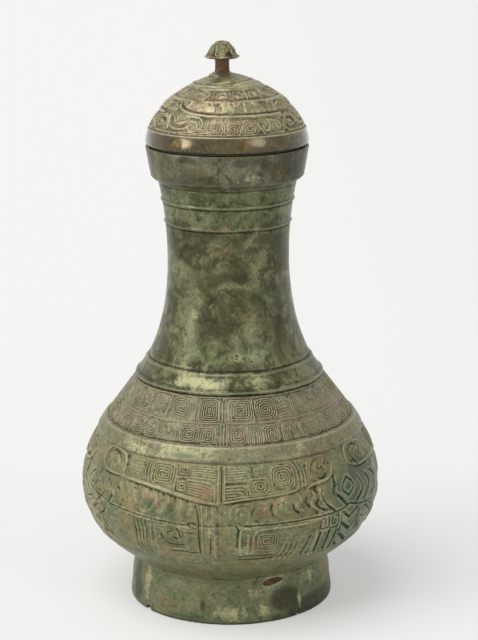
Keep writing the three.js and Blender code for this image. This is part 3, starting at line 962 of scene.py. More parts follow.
def turned_object(name: str, profile: Sequence[Point], steps: int = 128, centre: float = 0.0) -> Object:
    """Spins a profile about the vertical axis into a mesh.

    Args:
        name: The piece's name.
        profile: Radii and heights in millimetres. Going up on the outside, the metal is on the left.
        steps: How many steps it takes round.
        centre: How far the turning axis stands to the right of the jar's.

    Returns:
        The new object.
    """
    bpy.ops.object.select_all(action="DESELECT")
    bpy.ops.mesh.primitive_plane_add(size=1)
    obj = bpy.context.active_object
    obj.name = obj.data.name = name
    bpy.ops.object.mode_set(mode="EDIT")
    bpy.ops.mesh.select_all(action="SELECT")
    bpy.ops.mesh.merge(type="CENTER")
    first = Vector((profile[0][0], 0, profile[0][1])) * MM
    bpy.ops.transform.translate(value=first)
    for (r0, z0), (r1, z1) in zip(profile, profile[1:]):
        step = Vector((r1 - r0, 0, z1 - z0)) * MM
        bpy.ops.mesh.extrude_region_move(TRANSFORM_OT_translate={"value": step})
    bpy.ops.mesh.select_all(action="SELECT")
    bpy.ops.mesh.spin(steps=steps, angle=2 * math.pi, center=(0, 0, 0), axis=(0, 0, 1))
    bpy.ops.mesh.select_all(action="SELECT")
    bpy.ops.mesh.remove_doubles(threshold=1e-6)
    bpy.ops.mesh.normals_make_consistent(inside=False)
    if centre:
        bpy.ops.transform.translate(value=(centre * MM, 0, 0))
    bpy.ops.object.mode_set(mode="OBJECT")
    bpy.ops.object.shade_smooth_by_angle(angle=math.radians(35))
    log.info("%s: %d faces", name, len(obj.data.polygons))
    return obj


# The ornament, drawn in degrees from the front and in heights, and repeated round the back

SEAM = -4.0
RIGHT_MASK = 50.5
LEFT_MASK = -64.5
BACK_MASK = 173.0
EYE_FROM_MASK = 12.2
EYE_HEIGHT = 117.4


class Side(Enum):
    """Which side of its seam a half panel lies on."""

    LEFT = "left"
    RIGHT = "right"


@dataclass(frozen=True)
class HalfPanel:
    """Half a panel of the belly's ornament, from a mould seam to the axis of a mask."""

    seam: float
    side: Side
    width: float

    @property
    def axis(self) -> float:
        """Where its mask's axis is."""
        return self.seam + (self.width if self.side is Side.RIGHT else -self.width)

    @property
    def worn(self) -> bool:
        """Whether it is the worn one in front, to the left of the seam."""
        return self.seam == SEAM and self.side is Side.LEFT

    @property
    def span(self) -> Point:
        """Its two edges from left to right, in degrees from the front."""
        return min(self.seam, self.axis), max(self.seam, self.axis)

    @property
    def stretch(self) -> float:
        """How much wider it is than the half panel in front on the same side."""
        shown = RIGHT_MASK - SEAM if self.side is Side.RIGHT else SEAM - LEFT_MASK
        return self.width / shown

    def pen(self, wall: Wall) -> Pen:
        """Returns a pen that draws here what is measured on the front."""
        return Pen(wall, self.seam, SEAM, self.stretch)

    def measured(self, angle: Array) -> Array:
        """Returns the matching angles on the half panel in front."""
        return SEAM + (angle - self.seam) / self.stretch


def half_panels() -> list[HalfPanel]:
    """Returns the six half panels, from each seam to the masks on both sides of it."""
    halves = []
    for seam, left_axis, right_axis in (
        (SEAM, LEFT_MASK, RIGHT_MASK),
        (SEAM + 120, RIGHT_MASK, BACK_MASK),
        (SEAM - 120, BACK_MASK - 360, LEFT_MASK),
    ):
        halves.append(HalfPanel(seam, Side.RIGHT, right_axis - seam))
        halves.append(HalfPanel(seam, Side.LEFT, seam - left_axis))
    return halves


def right_upper(pen: Pen) -> None:
    """Draws the panel to the right of the seam: combs, spirals and the eye."""
    pen.line([(-2, 101.3), (3, 102.9), (9, 104), (20, 104.9), (25.5, 106.2), (27.2, 109.5), (27.2, 116), (26.6, 121),
              (25, 124.2)], 0.55)
    pen.line([(-2, 103.6), (4, 105), (10, 105.8), (21, 106.6)])
    pen.line([(-1.9, 103.6), (-1.9, 123.4)])
    pen.comb([(-0.6, 123), (4, 123.4), (8.4, 123.6)], [(-0.6, 116.4), (4, 116.8), (8.4, 117.6)], 5)
    pen.line([(-1.2, 114.9), (5, 115.5), (9, 116.1), (14.4, 116)], 0.45)
    pen.fold([(-1.2, 113.1), (3, 113.6), (6.4, 113.5)], 0.8, -0.4)
    pen.line([(-1.2, 111.4), (4.6, 111.9), (7, 110.6), (7.8, 106.8)])
    pen.line([(-1.2, 109.5), (4, 110), (6, 108.8), (6.6, 106.6)])
    pen.line([(-1.2, 107.6), (3.6, 108.1), (5, 106.8)])
    pen.line([(-1.2, 105.7), (2.6, 106.2)])
    pen.spiral(11.2, 120.6, (3.8, 3.3), 1.6, start=200, square=2.6)
    pen.spiral(11.6, 111, (4.5, 4.1), 1.65, start=180, turn=-1, square=4)
    pen.line([(7.4, 106.9), (13.8, 107.3), (15.2, 109.6), (15.2, 115)], 0.45)
    pen.spiral(20.8, 115.4, (9.1, 8.9), 1.8, start=255, square=4)
    for angle in (28.6, 29.9):
        pen.line([(angle, 107.6), (angle + 0.5, 113), (angle + 0.2, 119), (angle - 0.9, 124)], 0.6)
    pen.fold([(30.5, 106.5), (33.5, 107.6), (37, 108.6), (40.6, 109.4), (42.8, 111.6), (43.8, 115), (45.4, 118.6)],
             [0.8, 1.1, 1.2, 1.1, 1.2, 1.1, 0.7], 0.8)
    pen.fold([(36.8, 120.6), (35.6, 117.6), (37, 115), (39.6, 114), (40.8, 116.6), (39.2, 118.8), (37.6, 117.6)],
             [0.7, 1.0, 1.0, 0.9, 0.9, 0.8, 0.5], 0.65)
    pen.fold([(36.4, 110.8), (38.6, 110.4), (40.2, 112.6)], [0.6, 1.1, 0.7], -0.7)
    pen.fold([(41.2, 119), (42.4, 121), (43, 118.6)], [1.2, 2.2, 1.2], -0.7)
    pen.cut([(33.6, 116), (34.5, 119.8), (36.4, 122.2), (39.6, 123.4), (43, 122.4)], 0.5, 0.6)
    pen.line([(32.6, 122), (31.6, 117), (32, 112)], 0.5, height=0.6)


def right_middle(pen: Pen) -> None:
    """Draws the worn curling feathers to the right of the seam."""
    pen.fold([(0.3, 90.5), (0.1, 95), (0.9, 98.3), (3, 100), (6.6, 100.4)], 0.95, 0.7)
    pen.fold([(2.6, 90.5), (2.4, 94.5), (3.4, 97.2), (6, 98)], 0.8, 0.6)
    pen.fold([(8.8, 97), (8.2, 93), (9.2, 88.6), (10.8, 86.2)], [1.0, 1.8, 2.0, 0.9], -0.45)
    pen.fold([(10.4, 97), (12.6, 96.6), (13.6, 98.8), (11.8, 100.6), (9.6, 99.6)], 0.8, 0.45)
    pen.fold([(4.4, 96.4), (6.8, 94.6), (6.4, 90.6), (3.6, 89.6)], [0.8, 1.2, 1.2, 0.8], 0.4)
    folds = [
        ([(13.4, 97.5), (12.4, 93.5), (13.6, 90), (15.6, 87)], [1.0, 2.2, 2.4, 1.2], 0.45),
        ([(17.8, 101.8), (16.9, 97.6), (17.2, 92.5), (18.8, 89.4)], [0.8, 1.6, 1.8, 1.0], 0.35),
        ([(20.4, 99.4), (21.8, 97.6), (21, 94), (23, 91.4)], [1.4, 3.0, 2.4, 1.2], 0.6),
        ([(26.8, 103.2), (27.2, 99), (25.6, 95.6), (28.2, 91)], [1.0, 2.0, 2.8, 1.2], 0.5),
        ([(32.6, 103.8), (33.4, 99.6), (31.8, 95), (34.4, 89.6)], [1.2, 2.6, 2.2, 1.0], 0.5),
        ([(37, 101), (36.2, 97), (37.2, 93)], [0.8, 1.6, 1.2], 0.35),
    ]
    for points, width, height in folds:
        pen.fold(points, width, 1.5 * height, taper=True)
    hollows = [
        ([(15.6, 98.4), (15.1, 95), (15.8, 91)], [0.7, 1.5, 0.8]),
        ([(24.2, 96.4), (24.5, 93.5), (26, 90.4)], [0.8, 1.5, 0.9]),
        ([(29.8, 100.4), (29.2, 97), (30.6, 93.4)], [0.8, 1.5, 0.9]),
        ([(34.6, 92), (36.6, 89.6), (40, 88)], [0.8, 1.4, 0.9]),
    ]
    for points, width in hollows:
        pen.fold(points, width, -0.5)


def right_lower(pen: Pen) -> None:
    """Draws the zone under the feathers to the right of the seam."""
    pen.fold([(3.8, 62), (3.6, 74), (4, 80.4), (5.2, 82.6), (7.4, 82.8)], 0.8)
    pen.fold([(6.6, 62.6), (6.6, 78.6)], 0.75)
    pen.fold([(2.2, 84.6), (3, 82), (2.6, 76), (2.6, 68)], [0.8, 0.9, 0.4, 0.4], -0.7)
    pen.line([(8.5, 64.6), (8.6, 72), (9, 78.4), (10.8, 81.4), (16, 82), (24, 81.8), (30, 81.6)], 0.6)
    pen.spiral(13.9, 73.2, (7.4, 6.4), 1.75, start=10, turn=-1, square=4.5)
    pen.comb([(9, 65.4), (17, 65)], [(9.4, 62.6), (17, 62.4)], 2)
    pen.fold([(3.2, 60.2), (9, 60.4), (16.4, 60.4)], 0.7, -0.6)
    pen.fold([(3.4, 57.4), (10, 57), (17, 57.4)], 0.9, -0.5)
    pen.comb([(20.9, 69.5), (19.8, 62), (17, 56)], [(27, 69.5), (26.4, 62), (24.6, 56)], 4, 0.62)
    pen.comb([(18.6, 77.6), (24, 78.4), (31.6, 78.6)], [(19.6, 72.4), (25, 72.8), (31.6, 73)], 4, 0.42, 0.7)
    pen.fold([(40.4, 83.2), (40.6, 76), (43.6, 75.4), (43.9, 79.6), (42.4, 81.4), (41.8, 79)],
             [0.8, 0.8, 0.9, 0.9, 0.7, 0.5], 0.8)
    pen.cut([(44.5, 80.4), (44.4, 73.8), (41, 73.6)], 0.5, 1.1)
    pen.cut([(39.6, 83), (39.6, 75.6), (36.2, 75.2), (35.8, 81), (37.8, 82.2), (38, 78.4)], 0.5, 0.9)
    for angle, width in ((36.4, 1.5), (38.3, 0.45), (39.2, 0.4), (40.9, 1.4)):
        pen.cut([(angle, 71.6), (angle - 0.2, 64), (angle + 0.4, 55)], width, 1.3)
    pen.fold([(43.2, 72), (42.9, 64), (43.4, 55)], 1.3, 0.6)
    pen.fold([(34, 75), (33.8, 64), (33.6, 55)], 1.4, 0.6)
    pen.fold([(31.6, 72), (30.4, 64), (29.6, 55)], 0.9, -0.6)


def left_upper(pen: Pen) -> None:
    """Draws the panel to the left of the seam: fanned lines, spirals and the eye."""
    pen.fold([(-46.6, 110.6), (-42, 110.3), (-38, 109.8), (-34, 109.1), (-30, 108.4), (-26, 107.2), (-20, 105.2),
              (-14, 103.1), (-8, 101), (-5.2, 100.2)], 1.6, 0.75)
    pen.line([(-4.4, 99), (-4.4, 124)], 0.5)
    pen.cut([(-3.1, 101.5), (-3.1, 112), (-3.1, 124)], 0.7, 0.6)
    pen.line([(-5.6, 102), (-5.5, 110), (-6.8, 112.9), (-11, 114.1), (-16.5, 114.8)], 0.55)
    pen.comb([(-6.6, 109.8), (-10, 111.8), (-15.6, 112.8)], [(-6.6, 102.8), (-10, 104.8), (-15.6, 106.8)], 5)
    pen.line([(-5.2, 115.6), (-14, 116.6), (-21, 116.2)], 0.45)
    pen.comb([(-5.4, 123.4), (-10, 124), (-14.6, 124.2)], [(-5.4, 117.3), (-10, 118.2), (-14.6, 118.6)], 5)
    pen.spiral(-18.2, 120.8, (3.9, 3.3), 1.6, start=0, turn=-1, square=3)
    pen.spiral(-18.5, 110.6, (4.1, 3.9), 1.65, start=0, square=3.6)
    pen.line([(-21.5, 107), (-21.4, 122.6)])
    pen.spiral(-27, 117.4, (8.9, 7.8), 1.75, start=250, turn=-1)
    for angle in (-32.8, -34, -35.3):
        pen.line([(angle + 0.8, 112.6), (angle, 118), (angle + 0.4, 124.6)])
    pen.comb([(-44.4, 123), (-40, 122.6), (-37, 123.6)], [(-44.4, 113), (-40, 112.6), (-37, 112.2)], 6, 0.42, 0.6)
    pen.fold([(-46.2, 110.8), (-45.8, 115), (-46.4, 120), (-49, 124.2), (-54, 125.6), (-59, 124.6), (-61, 120),
              (-60.4, 114.6), (-57, 111.4), (-51, 110.2), (-46.6, 110.6)], 1.0, 0.9)
    pen.fold([(-57.6, 117), (-58, 121), (-55, 123.4), (-51.6, 122.6), (-49.6, 119)], [0.5, 1.0, 1.2, 1.0, 0.5], -0.5)
    pen.fold([(-56.6, 115.4), (-54.8, 119.4), (-52, 120.4), (-50.6, 117), (-52.6, 114.4), (-54.6, 116.6)], 0.8, 0.5)


def left_middle(pen: Pen) -> None:
    """Draws the hanging folds to the left of the seam."""
    folds = [
        ([(-51.4, 100), (-50, 98.4), (-48.8, 96.2)], [1.2, 2.2, 1.2], 0.45),
        ([(-46.8, 107.4), (-46, 102.4), (-45, 98)], [0.7, 1.1, 1.5], 0.7),
        ([(-43.2, 106.4), (-41.6, 101.4), (-42.4, 96.4)], [0.8, 1.3, 0.9], 0.45),
        ([(-39.4, 94.4), (-38.2, 93.4)], 1.2, 0.5),
        ([(-36.4, 96.2), (-35.6, 94.6)], 1.2, 0.5),
        ([(-35.2, 106.4), (-34.2, 101), (-34.8, 97)], [0.8, 1.4, 1.2], 0.5),
        ([(-28.6, 105.6), (-28.2, 100.8), (-29.4, 96), (-31.6, 91.4)], [1.0, 2.0, 2.2, 1.2], 0.6),
        ([(-23.6, 104), (-23, 99.4), (-24.4, 94.6), (-27, 90.6)], [1.0, 2.0, 2.1, 1.1], 0.55),
        ([(-18.4, 102.4), (-17.8, 97.8), (-18.6, 93), (-20.4, 89)], [0.9, 1.8, 2.0, 1.0], 0.5),
        ([(-14.4, 100.6), (-14, 96), (-14.6, 91)], [0.8, 1.5, 1.0], 0.4),
    ]
    for points, width, height in folds:
        pen.fold(points, width, height, taper=True)
    hollows = [
        ([(-44.9, 107.6), (-43.8, 102.4), (-43.4, 97)], [0.6, 1.1, 0.8]),
        ([(-38.2, 106.8), (-37.6, 102), (-36.9, 97.6)], [1.3, 1.8, 1.2]),
        ([(-31.4, 105.6), (-31, 100.6), (-32.6, 94.4), (-36, 89.8)], [1.0, 1.7, 1.8, 0.9]),
        ([(-25.8, 104.6), (-25.6, 100), (-27.2, 95.4), (-29.6, 91)], [0.6, 1.2, 1.3, 0.8]),
        ([(-20.8, 103), (-20.4, 98.6), (-21.6, 94), (-24, 90)], [0.6, 1.0, 1.1, 0.7]),
        ([(-16, 101.6), (-15.8, 97), (-16.6, 92)], [0.5, 0.9, 0.6]),
    ]
    for points, width in hollows:
        pen.fold(points, [1.7 * w for w in width], -0.32)
    pen.cut([(-13, 99.4), (-12, 94), (-11.6, 88), (-11.6, 76), (-11.6, 63.6)], [0.4, 0.6, 0.6, 0.6, 0.6], 0.8)
    pen.cut([(-15.6, 84.4), (-15, 85.8), (-13.4, 86), (-11.6, 83.4)], [0.8, 0.7, 0.6, 0.6], 1.0)
    pen.cut([(-15, 83.8), (-13.4, 83), (-11.8, 82.8)], 0.5, 0.8)


def left_lower(pen: Pen) -> None:
    """Draws the zone under the folds to the left of the seam."""
    pen.line([(-10.5, 99), (-10.3, 90), (-10.3, 64)], 0.5)
    pen.line([(-8.9, 63), (-8.9, 84), (-8.4, 97)], 0.42, height=0.8)
    pen.line([(-5.7, 58), (-5.9, 80), (-6.3, 97)], 0.42, height=0.8)
    pen.cut([(-7.4, 76), (-7.3, 70), (-7.7, 62.6)], 0.55, 1.0)
    pen.fold([(-24, 83), (-27.4, 80), (-27.8, 72), (-25, 66.6), (-20, 65.6), (-14.8, 66.6), (-13.2, 72), (-13.4, 80),
              (-17, 83)], 1.0, 0.35)
    for points, width, height in (
        ([(-20, 81.4), (-19, 78), (-18.8, 74.4)], 0.75, -1.0),
        ([(-18.4, 80.6), (-17.7, 78), (-17.8, 75.8)], 0.5, -0.8),
        ([(-26.5, 76), (-26.3, 74), (-25.8, 72.2)], 0.75, -0.9),
        ([(-21.4, 74.4), (-20.2, 73.6)], 0.9, -1.0),
        ([(-24.8, 71.2), (-24.2, 69.6), (-22.8, 68.6)], 0.5, -0.5),
        ([(-22.2, 68.4), (-19.8, 68.6), (-17.8, 69.4)], 0.55, -0.8),
        ([(-23.8, 77.8), (-22, 79), (-20.8, 78.2), (-21, 76)], 0.5, -0.4),
        ([(-16, 66), (-14.2, 66.8), (-14, 69.4)], 0.5, -0.6),
        ([(-17.4, 79), (-15.8, 78.6), (-13.8, 79)], 0.6, -0.6),
    ):
        pen.line(points, width, height=height)
    pen.cut([(-23.4, 62.6), (-18, 63.4), (-12, 62.8)], 0.8, 0.9)
    pen.comb([(-29.2, 61), (-28.9, 72), (-28.7, 82)], [(-31.4, 60), (-31, 71), (-30.6, 81)], 2, 0.6)
    for angle in (-38.4, -36.4, -34.8, -33.2):
        pen.cut([(angle, 84), (angle + 0.4, 75), (angle - 0.4, 66), (angle + 0.3, 57)], 0.55, 0.8)


def left_flank(pen: Pen) -> None:
    """Draws the worn leaf and the column's edge to the right of the mask on the left."""
    pen.cut([(-54.8, 91), (-54.7, 84), (-56.2, 80), (-59, 77.6)], 0.6, 1.0)
    lumps = [
        ([(-60, 88.6), (-58.2, 85.6), (-57, 82.4)], [1.4, 2.6, 1.8]),
        ([(-64.8, 82.4), (-62.4, 84.8)], 1.6),
        ([(-65.4, 71.4), (-63, 75), (-61, 77.8)], 1.4),
        ([(-59.6, 78), (-58.6, 72), (-59.6, 66)], 1.1),
        ([(-65.4, 60.4), (-61.4, 63.6)], 1.2),
    ]
    for points, width in lumps:
        pen.fold(points, width, 0.9)
    pen.fold([(-56.6, 76), (-54.8, 71), (-54.4, 65)], 0.8, 0.4)


def mask_left(pen: Pen) -> None:
    """Draws the left half of a mask's middle, cut into its broad face: the diamond, the arms and the column."""
    pen.cut([(50.3, 106.6), (47.0, 99.7), (50.3, 94)], 0.7, 1.5)
    pen.cut([(44, 97), (45.8, 93.5), (49, 87.6)], [0.9, 1.5, 1.1], 1.5)
    pen.fold([(43.6, 110), (43.2, 104), (42.2, 99), (43.8, 96)], [1.2, 1.9, 2.2, 1.4], -0.5)
    pen.cut([(38, 93.2), (40, 89.6), (42.5, 86)], [0.6, 1.3, 0.9], 1.5)
    pen.cut([(36.8, 102.4), (36.3, 98.4), (37.4, 94.6), (38.8, 92)], 0.5, 0.8)
    pen.cut([(46.2, 84.2), (46.2, 75), (46.1, 66), (45.9, 63), (46.7, 58), (47, 54)], 0.55, 1.2)
    pen.line([(45, 84), (45.1, 75), (45.2, 66), (45.3, 55)], 0.8)
    for points, width in (([(47, 83), (50.8, 77.4)], 1.1), ([(47.1, 74.4), (52.6, 67.4)], 1.6),
                          ([(47.6, 65.4), (54.4, 57)], 1.7), ([(46.8, 58.4), (51.4, 53.4)], 1.1)):
        pen.cut(points, width, 1.5)


def mask_right(pen: Pen, share: float) -> None:
    """Draws the right half of a mask's middle.

    Args:
        pen: The pen.
        share: How much of the arms is left after wear.
    """
    pen, column = pen.counted_from(LEFT_MASK), 2.5 * (1 - share)
    arms = [
        ([(-0.1, 106.6), (3.3, 99.8), (-0.1, 94)], 0.7),
        ([(6.4, 104.6), (8.1, 99.5), (9.2, 95)], 0.7),
        ([(9.2, 95), (7.6, 91.6), (4.2, 86.8)], [0.8, 1.5, 1.6]),
        ([(11.8, 103.4), (13.8, 98.6), (14.2, 95), (12.6, 90.4), (9.8, 86)], [0.8, 1.1, 1.3, 1.6, 1.4]),
        ([(16.4, 102.8), (19, 100), (20.4, 95), (19.4, 90), (16.8, 85.4)], [0.9, 1.8, 1.6, 1.8, 1.6]),
    ]
    for points, width in arms:
        pen.cut(points, width, 1.5 * share)
    for points, width in (([(0.4, 77.4), (4.6, 82.3)], 1.2), ([(2.2, 67.6), (5.6, 75)], 1.3),
                          ([(4, 57.2), (7.4, 66)], 1.5)):
        pen.cut([(x, z + column) for x, z in points], width, 1.5 * share)
    pen.line([(6, 83), (6.4, 77), (7.4, 70), (9.4, 62)], 0.8)
    pen.cut([(7.2, 80), (7.6, 74), (9.4, 67), (12, 60)], 0.6, 1.2 * share)


def far_flank(pen: Pen) -> None:
    """Draws what lies to the right of a mask that faces away from the front: an eye, a spiral and long stripes."""
    pen = pen.counted_from(LEFT_MASK)
    marks = [
        ([(7.4, 116), (7.8, 113.4), (8.6, 111)], 0.9, -0.9),
        ([(20.4, 119), (21.4, 114), (20.8, 108), (19.2, 104)], 0.8, 0.9),
        ([(11, 119.4), (14.4, 121.4), (17.4, 119)], 0.8, 0.5),
        ([(13.2, 113.6), (15, 114.4), (17, 113.2)], 0.9, 0.5),
        ([(9.4, 112.4), (11.4, 111)], 0.9, 0.5),
        ([(8.6, 78), (10.4, 80), (12.6, 77.6), (11.2, 74.4), (9, 73.6)], 0.55, -1.0),
        ([(9, 73), (11.4, 71.6), (15, 71)], 0.5, -1.0),
    ]
    for points, width, height in marks:
        pen.fold(points, width, height)
    for step in range(5):
        pen.line([(12 + 2.4 * step, 81.6 - 2 * step), (18 + 2.4 * step, 72 - 2 * step), (22 + 2.2 * step, 60)], 0.8)


def low_edge(half: HalfPanel, shown: Array) -> Array:
    """Returns the height of the line under the feathers, which climbs to a peak at the mask's axis.

    Args:
        half: The half panel.
        shown: Angles as measured on the half panel in front.

    Returns:
        Heights.
    """
    if half.side is Side.RIGHT:
        return np.interp(shown, [5, 24, 36, 42.5, 46, 48.5, RIGHT_MASK], [84.6, 84.4, 84.7, 84.9, 85.2, 86.4, 87.8])
    if half.worn:
        return np.interp(shown, [LEFT_MASK, -61.5, -56, -50, -40, -34, -25, -18, -13.4],
                         [94.6, 92.4, 91, 88.5, 87.2, 86.2, 85.2, 84.3, 84])
    return np.interp(shown - LEFT_MASK, [0, 2.6, 5.1, 8.3, 11.6, 16.6, 20, 50],
                     [87.8, 86, 84.1, 83.3, 82.4, 82, 81.8, 84])


def register_strokes(wall: Wall) -> list[Stroke]:
    """Returns every stroke of the belly's main register."""
    strokes: list[Stroke] = []
    for half in half_panels():
        pen = half.pen(wall)
        if half.side is Side.RIGHT:
            right_upper(pen)
            right_middle(pen)
            right_lower(pen)
            mask_left(pen)
            angles = np.linspace(5, RIGHT_MASK, 24)
        else:
            left_upper(pen)
            left_middle(pen)
            left_lower(pen)
            mask_right(pen, 0.25 if half.worn else 1.0)
            if half.worn:
                left_flank(pen)
            else:
                far_flank(pen)
            angles = np.linspace(LEFT_MASK, -17 if half.worn else -13, 24)
        line = list(zip(angles.tolist(), low_edge(half, angles).tolist()))
        pen.cut(line, 0.7 if half.worn else 0.5, 0.25 if half.worn else 0.8)
        pen.fold([(x, z + 1.3) for x, z in line], 0.6, 0.5)
        strokes += pen.strokes
    return strokes


def register_ground(half: HalfPanel, angle: Array, height: Array) -> Array:
    """Returns how deep the register's ground lies: stepped panels, feathers, masks, eyes and seam bands.

    Args:
        half: The half panel.
        angle: Degrees from the front.
        height: Heights.

    Returns:
        Millimetres below the wall's face.
    """
    shown = half.measured(angle)
    if half.side is Side.RIGHT:
        edge = np.interp(shown, [-4, 9, 25, 30, 50], [100.6, 103.4, 105.4, 108, 109])
        from_axis = RIGHT_MASK - shown
    else:
        edge = np.interp(shown, [-64, -46, -34, -26, -14, -4], [110, 109.6, 108.3, 106.4, 102.2, 99.6])
        from_axis = shown - LEFT_MASK
    upper = smooth(height, edge - 0.7, edge + 0.5)
    low = low_edge(half, shown)
    lower = 1 - smooth(height, low - 0.6, low + 0.6)
    depth = 1.25 - 0.55 * upper - 0.65 * lower
    reach = 14.5 if half.side is Side.RIGHT else 20.5
    face = (1 - smooth(from_axis, reach, reach + 2.5)) * smooth(height, low, low + 1.4) * (1 - smooth(height, 108, 112))
    if half.worn:
        face *= 1 - 0.6 * smooth(from_axis, 0, 9)
    column = (1 - smooth(from_axis, 4.6, 5.4)) * lower
    face = np.maximum(face, column)
    depth = depth * (1 - face) + 0.2 * face
    across = (from_axis - EYE_FROM_MASK) / 6.6
    up = (height - EYE_HEIGHT) / 8.0
    swell = np.clip(1 - (np.abs(across) ** 3 + np.abs(up) ** 3), 0, 1) ** 0.6
    depth -= 0.8 * swell * smooth(from_axis, 2, 5)
    if half.side is Side.LEFT:
        band = window(shown, (-10.8, -10.2), (-5.2, -4.6)) * (1 - smooth(height, 98, 100))
        depth -= 0.55 * band * smooth(height, 57, 60)
    return depth * smooth(height, 54.4, 57)


def in_each_section(wall: Wall, *drawings: Callable[[Pen], None]) -> list[Stroke]:
    """Returns the strokes of drawings that come back in each of the three mould sections.

    Args:
        wall: The wall they lie on.
        drawings: Functions that draw with a pen.

    Returns:
        The strokes.
    """
    strokes: list[Stroke] = []
    for section in range(3):
        pen = Pen(wall, section * 120.0, fine=0.42)
        for draw in drawings:
            draw(pen)
        strokes += pen.strokes
    return strokes


def leiwen_strokes(wall: Wall) -> list[Stroke]:
    """Returns the strokes of the two rows of squared spirals under the shoulder, and of the rings beside them."""
    rings = Pen(wall)
    for height in (136.1, 149.0, 163.9):
        rings.line([(a, height) for a in range(-180, 181, 6)], 0.4)
    return [*in_each_section(wall, leiwen_upper, leiwen_lower), *rings.strokes]


def leiwen_upper(pen: Pen) -> None:
    """Draws one mould section of the upper row, from left to right."""
    pen.spiral(-59.4, 159, (3.9, 3.9), 1.55, start=200, square=3, half_width=0.4)
    pen.spiral(-51.4, 158.6, (4.1, 4.1), 1.55, start=0, turn=-1, square=3, half_width=0.4)
    pen.comb([(-65, 154.8), (-56, 155), (-48, 154.8)], [(-65, 150.8), (-56, 151), (-48, 150.8)], 4, 0.4, 0.8)
    pen.spiral(-40.9, 156.6, (7.4, 7.9), 1.6, start=240, square=4, half_width=0.4, level=0.75)
    pen.line([(-35, 163), (-34.6, 156), (-35.2, 149.8)], 0.5)
    pen.spiral(-26.8, 156.8, (8.9, 7.9), 1.6, start=200, turn=-1, square=2.7, tilt=-12)
    for angle in (-18.4, -16.9):
        pen.line([(angle + 0.2, 162.8), (angle, 156), (angle + 0.2, 150)])
    for step in range(5):
        pen.ring(-10.8, 156.4, (6.6 - 1.5 * step, 7.9 - 1.5 * step))
    for angle in (-5.2, -3.5, -2.1):
        pen.line([(angle, 163.4), (angle, 150)])
    pen.spiral(6.2, 156.5, (8.2, 8.0), 1.65, start=225, turn=-1, square=7)
    pen.line([(12.9, 163), (12.9, 149.8)], 0.45)
    pen.spiral(19.8, 156.6, (8.2, 8.0), 1.6, start=300, square=3)
    pen.comb([(27.4, 157), (31, 158.4), (34.6, 157.4)], [(27.4, 150.8), (31, 151.2), (34.8, 150.8)], 5, 0.4, 0.85)
    pen.comb([(28, 160.6), (30.4, 162.4), (33.6, 160.6)], [(29.2, 159.4), (30.6, 160.6), (32.4, 159.4)], 2, 0.4, 0.85)
    pen.spiral(42, 156.4, (8.2, 7.9), 1.6, start=270, turn=-1, half_width=0.4, level=0.75)
    pen.comb([(49.6, 162), (54, 161.4)], [(50, 151), (54, 151)], 8, 0.4, 0.7)


def leiwen_lower(pen: Pen) -> None:
    """Draws one mould section of the lower row, from left to right."""
    pen.comb([(-64, 147), (-56, 146.6)], [(-64, 137.6), (-56, 137.4)], 7, 0.4, 0.8)
    pen.spiral(-49.6, 142.4, (7.2, 6.9), 1.6, start=225)
    pen.spiral(-40.2, 142.6, (6, 6.7), 1.6, start=0, turn=-1, square=4)
    for share in range(5):
        low, high = 137.4 + 0.9 * share, 146.9 - 0.6 * share
        pen.line([(-35 + 1.1 * share, low), (-33.6 + 0.9 * share, high - 1.4), (-30.4, high),
                  (-27 - 0.9 * share, high - 1.6), (-25.8 - 1.0 * share, low + 1.2)])
    pen.spiral(-19.6, 142.4, (7.6, 6.9), 1.6, start=315, square=4)
    pen.spiral(-10.4, 141.6, (6, 6.4), 1.6, start=135, turn=-1, square=6)
    for angle in (-4.2, -2.6, -1.1):
        pen.line([(angle, 148.4), (angle, 136.6)])
    pen.spiral(4.1, 142.2, (6.6, 6.9), 1.6, start=135, square=6)
    for share in range(4):
        half = 3.4 - 0.9 * share
        top = 147.4 - 1.0 * share
        pen.line([(12.2 - half, 136.9), (12.2 - half, top - 1.6), (12.2 - half * 0.5, top), (12.2 + half * 0.5, top),
                  (12.2 + half, top - 1.6), (12.2 + half, 136.9)])
    pen.spiral(20.4, 141.9, (6.4, 6.8), 1.6, start=225, turn=-1, square=4)
    for share in range(5):
        pen.line([(25.8 + 0.9 * share, 137), (26.6 + 0.8 * share, 145.6 - 0.6 * share), (31, 147.2 - 1.3 * share),
                  (34.4 - 0.7 * share, 145.4 - 1.2 * share)])
    pen.spiral(42, 141.6, (9.4, 7), 1.6, start=90, square=2.6)
    for angle in (48.9, 50.2, 51.5, 52.8):
        pen.line([(angle + 0.6, 147.6), (angle, 137)], height=0.8)


